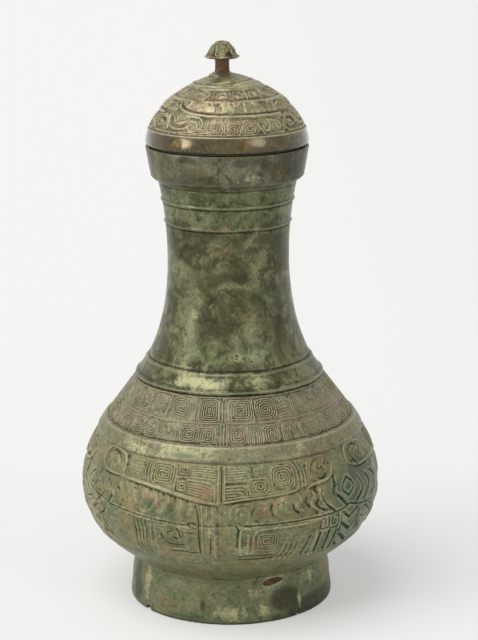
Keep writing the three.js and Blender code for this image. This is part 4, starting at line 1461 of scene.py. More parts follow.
def lid_lower(pen: Pen) -> None:
    """Draws one mould section of the lid's lower band: curls to the right, a scroll and an eye to the left."""
    for angle, half, square in ((-8.0, 5.1, 3.4), (5.1, 5.2, 4), (18.6, 5.3, 4)):
        pen.spiral(angle, 345.9, (half, 4.8), 1.6, start=200, square=square)
        pen.line([(angle + 4.6, 350.6), (angle + 6.4, 347.6), (angle + 6.2, 343.4)], height=0.8)
    pen.line([(16.4, 351), (13.2, 349.4), (12.4, 345.6)], 0.5)
    pen.fold([(24.8, 349.2), (26.4, 346), (28.8, 342.4)], [0.6, 1.0, 0.6])
    pen.fold([(34.6, 350.8), (35.2, 347.6), (34, 345), (31.8, 343.9), (29.6, 344.6), (29.2, 347)], 0.75)
    pen.line([(31.8, 349.6), (31.8, 347)], 0.5)
    pen.line([(37.4, 350.8), (40.8, 350), (44.2, 348.8), (45.4, 346.8), (43.8, 345.2), (41.6, 346), (42.4, 347.4)],
             0.6)
    pen.fold([(48.2, 347), (47.6, 343.6), (44.6, 342.3), (40.4, 342.5)], 0.6)
    pen.fold([(49, 351.8), (54, 352.4), (61, 351.6)], 0.6)
    pen.line([(50, 349.6), (50.2, 345), (52.6, 342.8), (58.4, 342.4)], 0.55)
    pen.line([(53.6, 348.8), (58.2, 349), (59.4, 346.4), (56.4, 345), (54.4, 346.4)], 0.55)
    pen.ring(-61.4, 348.6, (5.4, 3.4), 2.4, 0.6)
    pen.fold([(-63.2, 348.2), (-60.4, 347.9)], 1.5)
    pen.fold([(-67.4, 351), (-61.4, 353), (-56.4, 351.2), (-53.6, 348), (-50.8, 344.8)], [0.5, 0.8, 1.0, 1.0, 0.5])
    pen.fold([(-55, 352.6), (-52.8, 349.4), (-50, 346.9), (-45.6, 345.2), (-40, 344.8), (-34.6, 345.4),
              (-31.6, 346.8)], 0.8)
    pen.cut([(-51.2, 350), (-48.8, 347.2), (-44, 346.7), (-38, 347.2), (-34, 348)], 0.7, 0.8)
    pen.fold([(-43, 348.4), (-38.4, 348.7), (-33.8, 350.2)], [0.7, 1.6, 0.7])
    pen.line([(-53.4, 353.6), (-49.8, 352.6), (-46.6, 350.8), (-45.2, 348.9)], 0.55)
    pen.line([(-49.4, 354.2), (-45.8, 353), (-43.4, 350.2)], 0.5)
    pen.cut([(-44, 353.3), (-38.8, 353.2)], 0.7, 0.9)
    pen.fold([(-36.6, 353.4), (-30, 353.2), (-23, 352.4), (-19.8, 350.2), (-19.2, 347)], 0.7)
    pen.fold([(-31, 350.2), (-26.8, 350.2), (-24.2, 348.4), (-23, 345.6)], 0.8)
    pen.fold([(-28, 348.2), (-30.6, 347.2), (-31, 345.4), (-28.4, 344), (-24, 344.2)], 0.6)
    pen.line([(-60, 342.6), (-45, 342.4), (-32, 343.2), (-22, 342.6), (-15, 343.2)], 0.45)
    pen.line([(-14.6, 351), (-15.2, 346.4), (-14, 342.6)], 0.6)
    pen.ring(-59.6, 359, (7.6, 4.3), 2.2, 0.7)
    pen.ring(-60.2, 358.7, (4.6, 2.4), 2.2, 0.6)


def lid_upper(pen: Pen) -> None:
    """Draws one mould section of the lid's upper band: slanting feathers, a crescent, bars and curls."""
    for step in range(3):
        aside = 3.8 * step
        pen.line([(-66 + aside, 368.6), (-57 + aside, 367.2), (-52 + aside, 365.6), (-49 + aside, 364)], 0.45,
                 height=0.7)
    pen.fold([(-36, 363.9), (-27, 363.9), (-22.6, 365.2), (-23.8, 367.6), (-30, 368.6), (-38, 368.7)], 0.6)
    pen.line([(-37, 366.9), (-31, 366.6), (-28, 365.5)], 0.55)
    for angle in (-20.2, -18.2, -16.2):
        pen.line([(angle, 368.2), (angle - 0.3, 363.6)])
    pen.spiral(-4.4, 366, (4.4, 3.2), 1.35, start=180, turn=-1, square=2.4)
    pen.line([(4.4, 367.8), (5.2, 364.2)])
    pen.line([(7.6, 364), (8.2, 367.6), (11.6, 368.2)], 0.45)
    for angle, turn in ((18.2, 1), (31.4, -1), (43.6, 1)):
        pen.spiral(angle, 366.1, (4.5, 3.2), 1.35, start=90, turn=turn, square=2.4)
    pen.line([(24.6, 368.2), (24, 364)])
    pen.line([(50, 368.4), (51, 365.4), (56, 364.4)], 0.5)


def cap_strokes(wall: Wall) -> list[Stroke]:
    """Returns the curls on the knob's cap."""
    strokes: list[Stroke] = []
    for curl in range(5):
        pen = Pen(wall, curl * 72.0 + 12)
        pen.spiral(0, 394.6, (2.9, 2.6), 1.35, start=curl * 80, turn=1 if curl % 2 else -1, square=2.4,
                   half_width=0.4)
        pen.fold([(28, 396.6), (36, 394), (32, 391.4), (42, 390.4)], 0.5)
        pen.fold([(-14, 398.6), (4, 399), (20, 398.2)], 0.5)
        strokes += pen.strokes
    return strokes


# Finishes


@dataclass(frozen=True)
class Finish:
    """The colours and the gloss of one kind of surface, as screen colours and shares."""

    name: str
    deep: Colour
    middle: Colour
    high: Colour
    mottle: Colour
    blush: Colour
    roughness: float = 0.5
    metallic: float = 0.35
    bump: float = 0.25
    polish: float = 0.0


class Graph:
    """Adds nodes to a tree and links them, and returns the sockets."""

    def __init__(self, tree: bpy.types.NodeTree) -> None:
        """Keeps the tree that is being filled."""
        self.tree = tree

    def node(self, kind: str, **settings: object) -> bpy.types.Node:
        """Adds a node and sets its properties.

        Args:
            kind: The node's type.
            settings: Its properties.

        Returns:
            The new node.
        """
        made = self.tree.nodes.new(kind)
        for name, value in settings.items():
            setattr(made, name, value)
        made.location = (200 * (len(self.tree.nodes) % 12), -260 * (len(self.tree.nodes) // 12))
        return made

    def feed(self, socket: Socket, value: object) -> None:
        """Links a socket, or sets a constant on it.

        Args:
            socket: An input.
            value: An output to link, or a constant.
        """
        if isinstance(value, Socket):
            self.tree.links.new(value, socket)
        else:
            socket.default_value = value

    def math(self, operation: str, a: object, b: object = 0.0, c: object = 0.0) -> Socket:
        """Returns the result of a sum on numbers.

        Args:
            operation: Which sum it is.
            a: The first number.
            b: The second.
            c: The third, where the sum takes one.

        Returns:
            The result's socket.
        """
        made = self.node("ShaderNodeMath", operation=operation)
        for socket, value in zip(made.inputs, (a, b, c)):
            self.feed(socket, value)
        return made.outputs[0]

    def step(
        self, value: object, low: object, high: object, start: object = 0.0, end: object = 1.0
    ) -> Socket:
        """Returns a soft step from start to end as the value goes from low to high.

        Args:
            value: The value.
            low: Where the step starts.
            high: Where it ends.
            start: The result up to low.
            end: The result from high.

        Returns:
            The result's socket.
        """
        made = self.node("ShaderNodeMapRange", interpolation_type="SMOOTHSTEP")
        for socket, setting in zip(made.inputs, (value, low, high, start, end)):
            self.feed(socket, setting)
        return made.outputs[0]

    def mix(self, share: object, a: object, b: object, blend: str = "MIX") -> Socket:
        """Returns two colours mixed.

        Args:
            share: The second colour's share.
            a: The first colour.
            b: The second colour.
            blend: How the second is laid over the first.

        Returns:
            The colour's socket.
        """
        made = self.node("ShaderNodeMix", data_type="RGBA", blend_type=blend)
        self.feed(made.inputs[0], share)
        self.feed(made.inputs[6], a)
        self.feed(made.inputs[7], b)
        return made.outputs[2]

    def noise(
        self, place: object, scale: float, detail: float, roughness: float, warp: float = 0.0
    ) -> Socket:
        """Returns a noise texture's value.

        Args:
            place: Where it is read.
            scale: How fine it is.
            detail: How many finer layers it has.
            roughness: How strong these are.
            warp: How far it is distorted.

        Returns:
            The value's socket.
        """
        made = self.node("ShaderNodeTexNoise", noise_dimensions="3D")
        self.feed(made.inputs["Vector"], place)
        self.feed(made.inputs["Scale"], scale)
        self.feed(made.inputs["Detail"], detail)
        self.feed(made.inputs["Roughness"], roughness)
        self.feed(made.inputs["Distortion"], warp)
        return made.outputs[0]

    def attribute(self, name: str) -> Socket:
        """Returns a vertex attribute's value."""
        return self.node("ShaderNodeAttribute", attribute_name=name).outputs["Fac"]

    def bump(self, height: object, strength: float, distance: float) -> Socket:
        """Returns the normals of a bumpy face, whose heights go up to a distance in millimetres.

        Args:
            height: Heights from 0 to 1.
            strength: How strongly they tell.
            distance: The greatest height, in millimetres.

        Returns:
            The normal's socket.
        """
        made = self.node("ShaderNodeBump")
        self.feed(made.inputs["Strength"], strength)
        self.feed(made.inputs["Distance"], distance * MM)
        self.feed(made.inputs["Height"], height)
        return made.outputs[0]


def new_material(name: str) -> tuple[Material, Graph]:
    """Makes a material with no nodes, and the graph that fills it."""
    made = bpy.data.materials.new(name)
    made.use_nodes = True
    made.node_tree.nodes.clear()
    return made, Graph(made.node_tree)


PATINA = "weathered_bronze"
# The tints' colours; DARK also paints shade and PALE also paints highlights.
STAIN_AND_PAINTED_LIGHT_COLOURS = {
    Tint.GREEN: srgb(108, 116, 80),
    Tint.COPPER: srgb(142, 102, 78),
    Tint.DARK: srgb(56, 58, 38),
    Tint.PALE: srgb(166, 164, 124),
    Tint.VERDIGRIS: srgb(70, 86, 62),
    Tint.EARTH: srgb(114, 98, 62),
}


def patina_group() -> bpy.types.NodeTree:
    """Makes the shared node group that turns relief and stains into colour, gloss and height.

    Returns:
        The node group.
    """
    tree = bpy.data.node_groups.new(PATINA, "ShaderNodeTree")
    interface = tree.interface
    interface.new_socket("Position", in_out="INPUT", socket_type="NodeSocketVector")
    for name in ("Deep", "Middle", "High", "Mottle", "Blush"):
        interface.new_socket(name, in_out="INPUT", socket_type="NodeSocketColor")
    for name in ("Relief", *(tint.value.capitalize() for tint in Tint), "Roughness", "Metallic"):
        interface.new_socket(name, in_out="INPUT", socket_type="NodeSocketFloat")
    interface.new_socket("Color", in_out="OUTPUT", socket_type="NodeSocketColor")
    for name in ("Roughness", "Metallic", "Height"):
        interface.new_socket(name, in_out="OUTPUT", socket_type="NodeSocketFloat")
    g = Graph(tree)
    given = g.node("NodeGroupInput").outputs
    place = given["Position"]
    shifted = g.node("ShaderNodeVectorMath", operation="ADD")
    g.feed(shifted.inputs[0], place)
    shifted.inputs[1].default_value = (0.31, 0.17, 0.23)
    cloud = g.noise(place, 48, 6, 0.62, 0.6)
    haze = g.noise(shifted.outputs[0], 64, 5, 0.62, 0.9)
    blotch = g.noise(place, 110, 5, 0.62, 0.6)
    speck = g.noise(place, 480, 3, 0.6)
    dust = g.noise(place, 1300, 2, 0.5)
    uneven = g.math("SUBTRACT", blotch, 0.5)
    colour = g.mix(g.math("MULTIPLY", g.step(cloud, 0.44, 0.6), 0.85), given["Middle"], given["Mottle"])
    colour = g.mix(g.math("MULTIPLY", g.step(haze, 0.5, 0.62), 0.8), colour, given["Blush"])
    edge = g.math("MULTIPLY_ADD", uneven, 1.6, g.math("MULTIPLY", g.math("SUBTRACT", speck, 0.5), 0.8))
    # Each tint is mixed in where its mark lies; DARK also lays painted shade and PALE painted highlights.
    for tint in Tint:
        mark = g.math("MULTIPLY_ADD", given[tint.value.capitalize()], 1.1, edge)
        if tint is Tint.COPPER:
            mark = g.math("MULTIPLY", mark, g.step(given["Relief"], 0.3, 0.75, 0.55, 1.25))
        share = g.math("MULTIPLY", g.step(mark, 0.3, 1.0), 0.8)
        colour = g.mix(share, colour, STAIN_AND_PAINTED_LIGHT_COLOURS[tint])
    shade = g.math("MULTIPLY_ADD", uneven, 2.0, 1.0)
    shade = g.math("MULTIPLY_ADD", g.math("SUBTRACT", speck, 0.5), 1.3, shade)
    grey = g.node("ShaderNodeCombineColor")
    for socket in grey.inputs:
        g.feed(socket, shade)
    colour = g.mix(0.85, colour, grey.outputs[0], "MULTIPLY")
    high = g.mix(given["Verdigris"], given["High"], srgb(138, 148, 122))
    ragged = g.math("MULTIPLY_ADD", uneven, 0.35, given["Relief"])
    colour = g.mix(g.step(ragged, 0.44, 0.04, 0.0, 0.85), colour, given["Deep"])
    colour = g.mix(g.step(ragged, 0.58, 1.0, 0.0, 0.55), colour, high)
    scrap = g.step(g.math("MULTIPLY_ADD", g.math("SUBTRACT", cloud, 0.5), 0.6, speck), 0.62, 0.72)
    colour = g.mix(g.math("MULTIPLY", scrap, g.step(given["Dark"], 0.8, 0.1, 0.08, 0.45)), colour, given["High"])
    pit = g.step(g.math("MULTIPLY_ADD", uneven, 0.5, dust), 0.64, 0.72)
    holes = g.node("ShaderNodeTexVoronoi")
    g.feed(holes.inputs["Vector"], place)
    g.feed(holes.inputs["Scale"], 190)
    chosen = g.node("ShaderNodeSeparateColor")
    g.feed(chosen.inputs[0], holes.outputs["Color"])
    reach = g.math("MULTIPLY_ADD", chosen.outputs[0], 0.2, -0.06)
    hole = g.math("LESS_THAN", holes.outputs["Distance"], reach)
    pit = g.math("MAXIMUM", pit, hole)
    colour = g.mix(g.math("MULTIPLY", pit, 0.75), colour, given["Deep"])
    rough = g.math("MULTIPLY_ADD", uneven, 0.6, given["Roughness"])
    rough = g.math("ADD", rough, g.step(given["Relief"], 0.45, 0.1, 0.0, 0.2))
    grit = g.math("MULTIPLY_ADD", dust, 0.3, g.math("MULTIPLY", speck, 0.7))
    height = g.math("SUBTRACT", grit, g.math("MULTIPLY", pit, 0.6))
    out = g.node("NodeGroupOutput")
    g.feed(out.inputs["Color"], colour)
    g.feed(out.inputs["Roughness"], rough)
    g.feed(out.inputs["Metallic"], g.math("MULTIPLY", given["Metallic"], g.step(speck, 0.75, 0.4, 0.5, 1.0)))
    g.feed(out.inputs["Height"], height)
    return tree


def patina_material(finish: Finish) -> Material:
    """Makes a bronze material from a finish.

    Args:
        finish: Its colours and gloss.

    Returns:
        The new material.
    """
    made, g = new_material(finish.name)
    place = g.node("ShaderNodeTexCoord").outputs["Object"]
    group = g.node("ShaderNodeGroup")
    group.node_tree = bpy.data.node_groups[PATINA]
    g.feed(group.inputs["Position"], place)
    for name in ("deep", "middle", "high", "mottle", "blush"):
        g.feed(group.inputs[name.capitalize()], srgb(*getattr(finish, name)))
    g.feed(group.inputs["Relief"], g.math("ADD", g.attribute("relief"), 0.5))
    for tint in Tint:
        g.feed(group.inputs[tint.value.capitalize()], g.attribute(tint.value))
    g.feed(group.inputs["Roughness"], finish.roughness)
    g.feed(group.inputs["Metallic"], finish.metallic)
    shader = g.node("ShaderNodeBsdfPrincipled")
    for name, value in {
        "Base Color": group.outputs["Color"],
        "Roughness": group.outputs["Roughness"],
        "Metallic": group.outputs["Metallic"],
        "Specular IOR Level": 0.2,
        "Coat Weight": finish.polish,
        "Coat Roughness": 0.18,
    }.items():
        g.feed(shader.inputs[name], value)
    g.feed(shader.inputs["Normal"], g.bump(group.outputs["Height"], finish.bump, 0.4))
    g.feed(g.node("ShaderNodeOutputMaterial").inputs["Surface"], shader.outputs[0])
    return made


def clay_material() -> Material:
    """Makes the matt red-brown fired clay of the foot's cores."""
    made, g = new_material("fired_clay")
    place = g.node("ShaderNodeTexCoord").outputs["Object"]
    grain = g.noise(place, 300, 4, 0.65)
    colour = g.mix(g.step(grain, 0.35, 0.65), srgb(70, 42, 28), srgb(104, 68, 46))
    shader = g.node("ShaderNodeBsdfPrincipled")
    g.feed(shader.inputs["Base Color"], colour)
    g.feed(shader.inputs["Roughness"], g.step(grain, 0.2, 0.8, 0.85, 0.98))
    g.feed(shader.inputs["Normal"], g.bump(grain, 0.6, 0.5))
    g.feed(g.node("ShaderNodeOutputMaterial").inputs["Surface"], shader.outputs[0])
    return made


FINISHES = {
    "foot": Finish("foot_patina", (38, 40, 26), (112, 114, 84), (158, 160, 126), (94, 104, 74), (122, 118, 88), 0.42),
    "belly": Finish("belly_patina", (46, 44, 28), (118, 116, 84), (162, 160, 122), (100, 110, 80), (130, 120, 90),
                    0.4),
    "register": Finish("register_patina", (34, 34, 20), (124, 119, 86), (176, 172, 138), (110, 116, 86), (136, 126, 92),
                       0.38),
    "leiwen": Finish("leiwen_patina", (52, 48, 32), (128, 120, 94), (180, 172, 144), (114, 116, 90), (142, 126, 104),
                     0.4),
    "neck": Finish("neck_patina", (24, 24, 12), (80, 81, 54), (140, 140, 108), (122, 122, 90), (60, 59, 37),
                   0.3, 0.3, 0.2),
    "collar": Finish("collar_patina", (34, 32, 18), (88, 86, 64), (142, 140, 112), (116, 114, 92), (70, 66, 46),
                     0.36, 0.2, 0.2),
    "lid": Finish("lid_patina_look", (56, 46, 28), (148, 138, 108), (190, 181, 153), (126, 124, 92), (154, 136, 106),
                  0.34, 0.5),
    "band": Finish("polished_band", (28, 22, 8), (84, 72, 42), (140, 126, 92), (64, 58, 30), (104, 84, 48),
                   0.22, 0.8, 0.04, 0.8),
    "stem": Finish("stem_patina", (48, 34, 24), (98, 78, 60), (124, 104, 82), (82, 70, 50), (106, 78, 60), 0.5, 0.3),
    "cap": Finish("cap_patina_look", (36, 34, 18), (124, 119, 88), (186, 181, 153), (104, 106, 74), (132, 117, 84),
                  0.42, 0.3),
    "spacer": Finish("rough_spacer", (28, 22, 10), (92, 80, 52), (160, 146, 112), (70, 62, 36), (108, 90, 54),
                     0.3, 0.7, 0.8),
    "inside": Finish("inner_patina", (40, 42, 34), (78, 80, 62), (100, 104, 80), (66, 76, 60), (88, 80, 62),
                     0.65, 0.25),
}


def dress(obj: Object, material: Material, body: str) -> Object:
    """Gives a piece its material and body.

    Args:
        obj: The piece.
        material: What it is made of.
        body: The CAD body it moves with.

    Returns:
        The piece.
    """
    obj.data.materials.clear()
    obj.data.materials.append(material)
    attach(obj, body)
    return obj


# Stains, painted shade and painted highlights, placed as the photograph shows them: angle, height, half width, half
# height and strength


def stains_and_painted_light(tint: Tint, *rows: tuple[float, ...]) -> list[StainOrPaintedLight]:
    """Returns marks of one tint, stains or painted light, one for each row of their values."""
    return [StainOrPaintedLight(tint, *row) for row in rows]


BODY_STAINS_AND_PAINTED_LIGHT = [
    *stains_and_painted_light(Tint.COPPER, (-9, 108, 8, 4.5, 1), (-4, 104, 3, 6, 0.9), (-10, 103, 7, 2.5, 0.8), (12, 94, 9, 3.5, 0.8),
            (17, 99, 4, 3.5, 0.8), (7, 112, 9, 2.5, 0.6), (40, 124, 10, 2.5, 0.8), (43, 116, 3.5, 6, 0.7),
            (-28, 97, 4, 4, 0.8), (-33, 100, 3, 4, 0.7), (9, 71, 5, 7, 0.9), (13, 67, 6, 3, 0.7),
            (-24, 63, 16, 2, 0.7), (-11, 70, 2.5, 12, 0.6), (-54, 150, 12, 12, 0.5), (36, 150, 16, 10, 0.4),
            (-12, 276, 12, 1.2, 1)),
    *stains_and_painted_light(Tint.VERDIGRIS, (59, 94, 36, 22, 1.5), (52, 66, 30, 16, 1.4), (38, 62, 10, 12, 0.8),
            (-22, 92, 6, 7, 0.8), (-36, 84, 12, 7, 0.5), (-20, 129, 16, 3, 0.7), (22, 131, 12, 3, 0.5),
            (1, 58, 26, 5, 0.5), (-31, 96, 5, 7, 0.9)),
    *stains_and_painted_light(Tint.EARTH, (37, 117, 12, 10, 0.8), (33, 104, 12, 8, 0.7), (-60, 112, 5, 12, 0.8),
            (-44, 103, 16, 6, 0.5), (14, 218, 13, 15, 0.6), (-6, 262, 14, 8, 0.5), (-48, 64, 16, 9, 0.7),
            (-52, 76, 16, 12, 0.4), (22, 90, 14, 6, 0.5)),
    # DARK: (30, 94), (46, 98) and (60, 114) are painted shade on the belly's right side, (48, 204) and (52, 262)
    # painted shade down the neck's right side, and (4, 303) a painted shadow under the collar's step.
    *stains_and_painted_light(Tint.DARK, (30, 94, 16, 12, 0.45), (60, 114, 16, 12, 0.8), (46, 98, 20, 16, 0.5), (48, 204, 9, 24, 0.9),
            (52, 262, 9, 18, 0.8), (-58, 262, 9, 18, 0.7), (-34, 242, 12, 16, 0.5), (8, 243, 16, 8, 0.6),
            (4, 303, 14, 2.5, 0.9), (20, 59, 14, 1.4, 0.9), (28, 94, 4, 8, 0.6)),
    # PALE: the two at height 172 are a painted highlight on the shoulder band, and (-52, 84) a painted sheen on the
    # lower left of the belly.
    *stains_and_painted_light(Tint.PALE, (-18, 172, 26, 7, 1), (18, 172, 12, 7, 0.8), (-32, 214, 4, 8, 0.5), (-52, 84, 14, 16, 0.4),
            (-6, 84, 8, 16, 0.5), (6, 66, 9, 9, 0.6), (20, 100, 5, 5, 0.6), (10, 188, 20, 6, 0.4),
            (-4, 122, 16, 3, 0.5)),
    *stains_and_painted_light(Tint.GREEN, (-36, 212, 9, 14, 0.9), (-20, 188, 26, 9, 0.8), (16, 190, 26, 8, 0.8),
            (-48, 296, 12, 9, 0.8), (34, 296, 12, 6, 0.5), (40, 226, 9, 10, 0.7), (46, 138, 18, 8, 0.6)),
]
FOOT_STAINS_AND_PAINTED_LIGHT = [
    # DARK: (33, 15) and (60, 3) are painted shade on the foot's lower right, under the belly.
    *stains_and_painted_light(Tint.DARK, (-68, 12, 9, 12, 1.2), (-54.5, 2, 3.4, 2.6, 1.2), (-16, 13, 3, 7, 1), (-30, 4, 14, 3, 0.7),
            (33, 15, 13, 9, 2), (60, 3, 34, 9, 2.6), (-70, 18, 8, 18, 1.2), (26, 3, 9, 3, 0.9),
            (4.5, 27, 1, 1, 1.4), (-10, 22, 1, 1, 1.4), (14.5, 28, 0.9, 0.9, 1.4)),
    *stains_and_painted_light(Tint.EARTH, (-38, 10, 14, 8, 0.6)),
    *stains_and_painted_light(Tint.VERDIGRIS, (-4, 31, 30, 4, 0.6), (-20, 4, 12, 4, 1)),
    # PALE: (-56, 19) is a painted highlight, a light stripe down the foot's left side.
    *stains_and_painted_light(Tint.PALE, (-56, 19, 4.5, 15, 1.1), (-1, 8, 16, 7, 0.9), (18, 9, 7, 8, 0.9), (42, 13, 1.6, 8, 1.1),
            (52, 25, 5, 7, 0.8), (16, 24, 16, 6, 0.5)),
    *stains_and_painted_light(Tint.COPPER, (-66, 17, 4, 5, 0.5), (67, 27, 7, 6, 0.9), (39, 26, 8, 4, 0.5)),
    *stains_and_painted_light(Tint.GREEN, (-20, 20, 26, 9, 0.5)),
]
COLLAR_STAINS_AND_PAINTED_SHADE = [
    *stains_and_painted_light(Tint.GREEN, (-42, 316, 12, 9, 0.6), (8, 316, 18, 9, 0.5)),
    # DARK: (54, 318) is painted shade on the collar's right side.
    *stains_and_painted_light(Tint.DARK, (-68, 318, 8, 12, 0.7), (54, 318, 24, 16, 1.3), (-24, 314, 5, 7, 0.6), (27, 322, 5, 7, 0.8)),
    *stains_and_painted_light(Tint.EARTH, (-20, 316, 8, 8, 0.6), (40, 314, 9, 9, 0.7)),
    *stains_and_painted_light(Tint.COPPER, (-60, 313, 5, 7, 0.6)),
    *stains_and_painted_light(Tint.PALE, (16, 312, 14, 4, 0.5)),
]
LID_STAINS = [
    *stains_and_painted_light(Tint.GREEN, (-46, 350, 9, 8, 0.6), (30, 348, 12, 6, 0.5)),
    *stains_and_painted_light(Tint.EARTH, (8, 347, 10, 5, 0.7), (62, 350, 12, 14, 0.8), (-68, 350, 10, 14, 0.7)),
    *stains_and_painted_light(Tint.COPPER, (24, 347, 10, 4, 0.4)),
    *stains_and_painted_light(Tint.PALE, (4, 372, 26, 5, 0.6)),
    *stains_and_painted_light(Tint.DARK, (0, 375.6, 10, 2.5, 0.5)),
]


# The pieces


def undulate(patch: Patch, waves: float = 0.2, lumps: float = 0.07, crust: float = 0.04, pits: float = 0.25) -> None:
    """Gives a cast and weathered face its unevenness.

    Args:
        patch: The patch.
        waves: How deep the broad unevenness goes, in millimetres.
        lumps: How deep the lumps of a few millimetres go.
        crust: How deep the fine crust goes.
        pits: How deep the pits are.
    """
    angle, arc = patch.grid_angle, patch.grid_arc + 1000
    patch.offset += waves * (WAVES.at(angle, arc) - 0.6) * 0.6
    patch.offset += lumps * LUMPS.at(angle, arc) + crust * CRUST.at(angle, arc)
    patch.offset -= pits * smooth(PITS.at(angle, arc) + 0.25 * WAVES.at(angle, arc), 0.52, 0.8)


@dataclass
class Jar:
    """The jar's casting, seen as skins laid over a turned lining."""

    materials: dict[str, Material]
    lining_depth: float = 2.4
    floor_sag: float = 3.0
    slot_first: float = 25.0
    slot_height: float = 28.9
    slot_depth: float = 2.2
    clay_depth: float = 0.75
    nicks: tuple[Point, ...] = ((-54.5, 3.2), (41.0, 0.9))
    nick_depth: float = 1.8
    lower_belly_span: Point = (33.0, 55.4)
    register_span: Point = (53.6, 126.8)
    spirals_span: Point = (125.2, 165.4)
    neck_span: Point = (164.4, 302.4)
    neck_ridges: Point = (275.0, 290.5)

    def __post_init__(self) -> None:
        """Lays out the walls."""
        self.body = body_wall(SIZES)
        self.foot = foot_wall(SIZES)
        self.collar = collar_wall(SIZES)

    def patch(self, name: str, wall: Wall, heights: Point, **layout: object) -> Patch:
        """Returns a patch of a wall between two heights."""
        return Patch(name, wall, wall.span(*heights), **layout)

    def finish(self, patch: Patch, material: str, stains_and_painted_light: Iterable[StainOrPaintedLight] = BODY_STAINS_AND_PAINTED_LIGHT) -> Object:
        """Stains a patch and gives it its painted shade and highlights, builds it, and gives it its material and body.
        """
        patch.stain_and_paint_light(stains_and_painted_light)
        return dress(patch.build(), self.materials[material], "jar")

    def build(self) -> None:
        """Makes every piece of the jar."""
        self.lining()
        self.foot_ring()
        self.lower_belly()
        self.register()
        self.shoulder()
        self.neck()
        self.collar_ring()

    def lining(self) -> None:
        """Makes the inner wall, the floor and the inside of the foot as one closed turning."""
        s, body = SIZES, self.body
        arcs = np.linspace(1.0, body.length, 90)
        outer, inner = body.inset(arcs, self.lining_depth), body.inset(arcs, s.wall)
        floor = s.foot_height - self.floor_sag
        underside = [(0, floor), (23.5, floor + 0.4), (47, floor + 1.5), (s.foot_top - s.foot_wall, s.foot_height)]
        standing = [(s.foot_base - s.foot_wall + 0.1, 1.0), (s.foot_base - 1.6, 1.0)]
        standing.append((s.foot_top - 1.4, s.foot_height - 1))
        top = [(s.knee - 2.2, s.knee_height), (s.rim - 2.0, s.rim_height - 1.2), (s.mouth + 0.7, s.rim_height - 1.2)]
        bore = [(s.mouth + 0.7, s.rim_height - 15.2), (s.mouth - 0.1, s.rim_height - s.mouth_depth)]
        hollow = [p for p in inner if s.foot_height + 6.5 < p[1] < s.rim_height - s.mouth_depth - 1]
        floor_top = [(66, s.foot_height + 3.5), (47, floor + 4.8), (23.5, floor + 3.7), (0, floor + 3.3)]
        rising = [p for p in outer if p[1] > s.foot_height + 1]
        profile = [*underside, *standing, *rising, *top, *bore, *hollow[::-1], *floor_top]
        piece = turned_object("jar_lining", profile)
        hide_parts("jar_casting")
        dress(piece, self.materials["inside"], "jar")

    def foot_ring(self) -> None:
        """Makes the foot's face, with its three slots and the clay in them."""
        wall = self.foot
        patch = Patch("foot_skin", wall, (0.0, wall.length), cell=0.8, tuck=(0.4, 1.2))
        undulate(patch, 0.3, 0.12, 0.06, 0.3)
        patch.offset += 0.9 * smooth(patch.grid_height, 28.5, 33)
        for index in range(3):
            x = turn_from(patch.grid_angle, self.slot_first + 120 * index) * math.pi / 180 * SIZES.foot_top
            ragged = 0.3 * patch.grain(LUMPS)
            middle = self.slot_height + 0.11 * x
            half = np.interp(x, [-8, -6.4, -2, 4, 7.4, 8.2], [-1, 1.3, 1.9, 1.5, 0.6, -1])
            away = np.abs(patch.grid_height - middle) + ragged - half
            patch.offset -= self.slot_depth * (1 - smooth(away, -0.3, 0.3))
        for angle, width in self.nicks:
            x = turn_from(patch.grid_angle, angle) * math.pi / 180 * SIZES.foot_base
            nick = (1 - smooth(np.abs(x), width * 0.4, width)) * (1 - smooth(patch.grid_height, 1.5, 4.5))
            patch.offset -= self.nick_depth * nick
        on_table = patch.grid_height < 0.9
        patch.offset[on_table] = np.minimum(patch.offset[on_table], 0)
        patch.stains_and_painted_light[Tint.DARK] = 1 - smooth(patch.grid_height, 0.8, 3.2)
        self.finish(patch, "foot", FOOT_STAINS_AND_PAINTED_LIGHT)
        for index in range(3):
            self.clay_core(index)

    def clay_core(self, index: int) -> None:
        """Makes the clay that fills one slot of the foot."""
        angle = self.slot_first + 120 * index
        patch = self.patch(f"clay_core_{index + 1}", self.foot, (26.9, 31.1), angles=(angle - 7, angle + 7), cell=0.4,
                           tuck=(0.9, 0.9))
        patch.offset -= self.clay_depth - 0.2 * patch.grain(LUMPS) - 0.16 * patch.grain(CRUST)
        piece = patch.build()
        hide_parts(f"foot_core_{index + 1}")
        dress(piece, self.materials["clay"], "jar")

    def lower_belly(self) -> None:
        """Makes the plain belly under the ornament, with a soft hollow where it meets the foot."""
        patch = self.patch("lower_belly", self.body, self.lower_belly_span, cell=0.8, tuck=(1.0, 1.2))
        undulate(patch)
        patch.offset += 0.9 * (1 - smooth(patch.grid_height, 33, 36.5))
        patch.offset += 0.25 * smooth(patch.grid_height, 52, 54)
        self.finish(patch, "belly")

    def register(self) -> None:
        """Makes the main register in six half panels."""
        strokes = register_strokes(self.body)
        for number, half in enumerate(half_panels(), 1):
            patch = self.patch(f"register_{number}", self.body, self.register_span, angles=half.span, cell=0.48,
                               tuck=(1.4, 1.2))
            patch.offset -= register_ground(half, patch.grid_angle, patch.grid_height)
            undulate(patch, 0.2, 0.1, 0.07, 0.3)
            wear = patch.wear(0.85, 0.5, 0.4)
            patch.offset += 0.8 * wear * patch.stamp(strokes)
            patch.offset -= 1.1 * wear * patch.stamp(strokes, sunk=True)
            carved = 1 - smooth(np.abs(patch.grid_angle - half.axis), 14, 22)
            depth = 0.3 if half.worn else 1.6
            patch.contrast = 1.2 + depth * carved * (1 - smooth(patch.grid_height, 106, 112))
            self.hold_within(patch)
            self.finish(patch, "register")

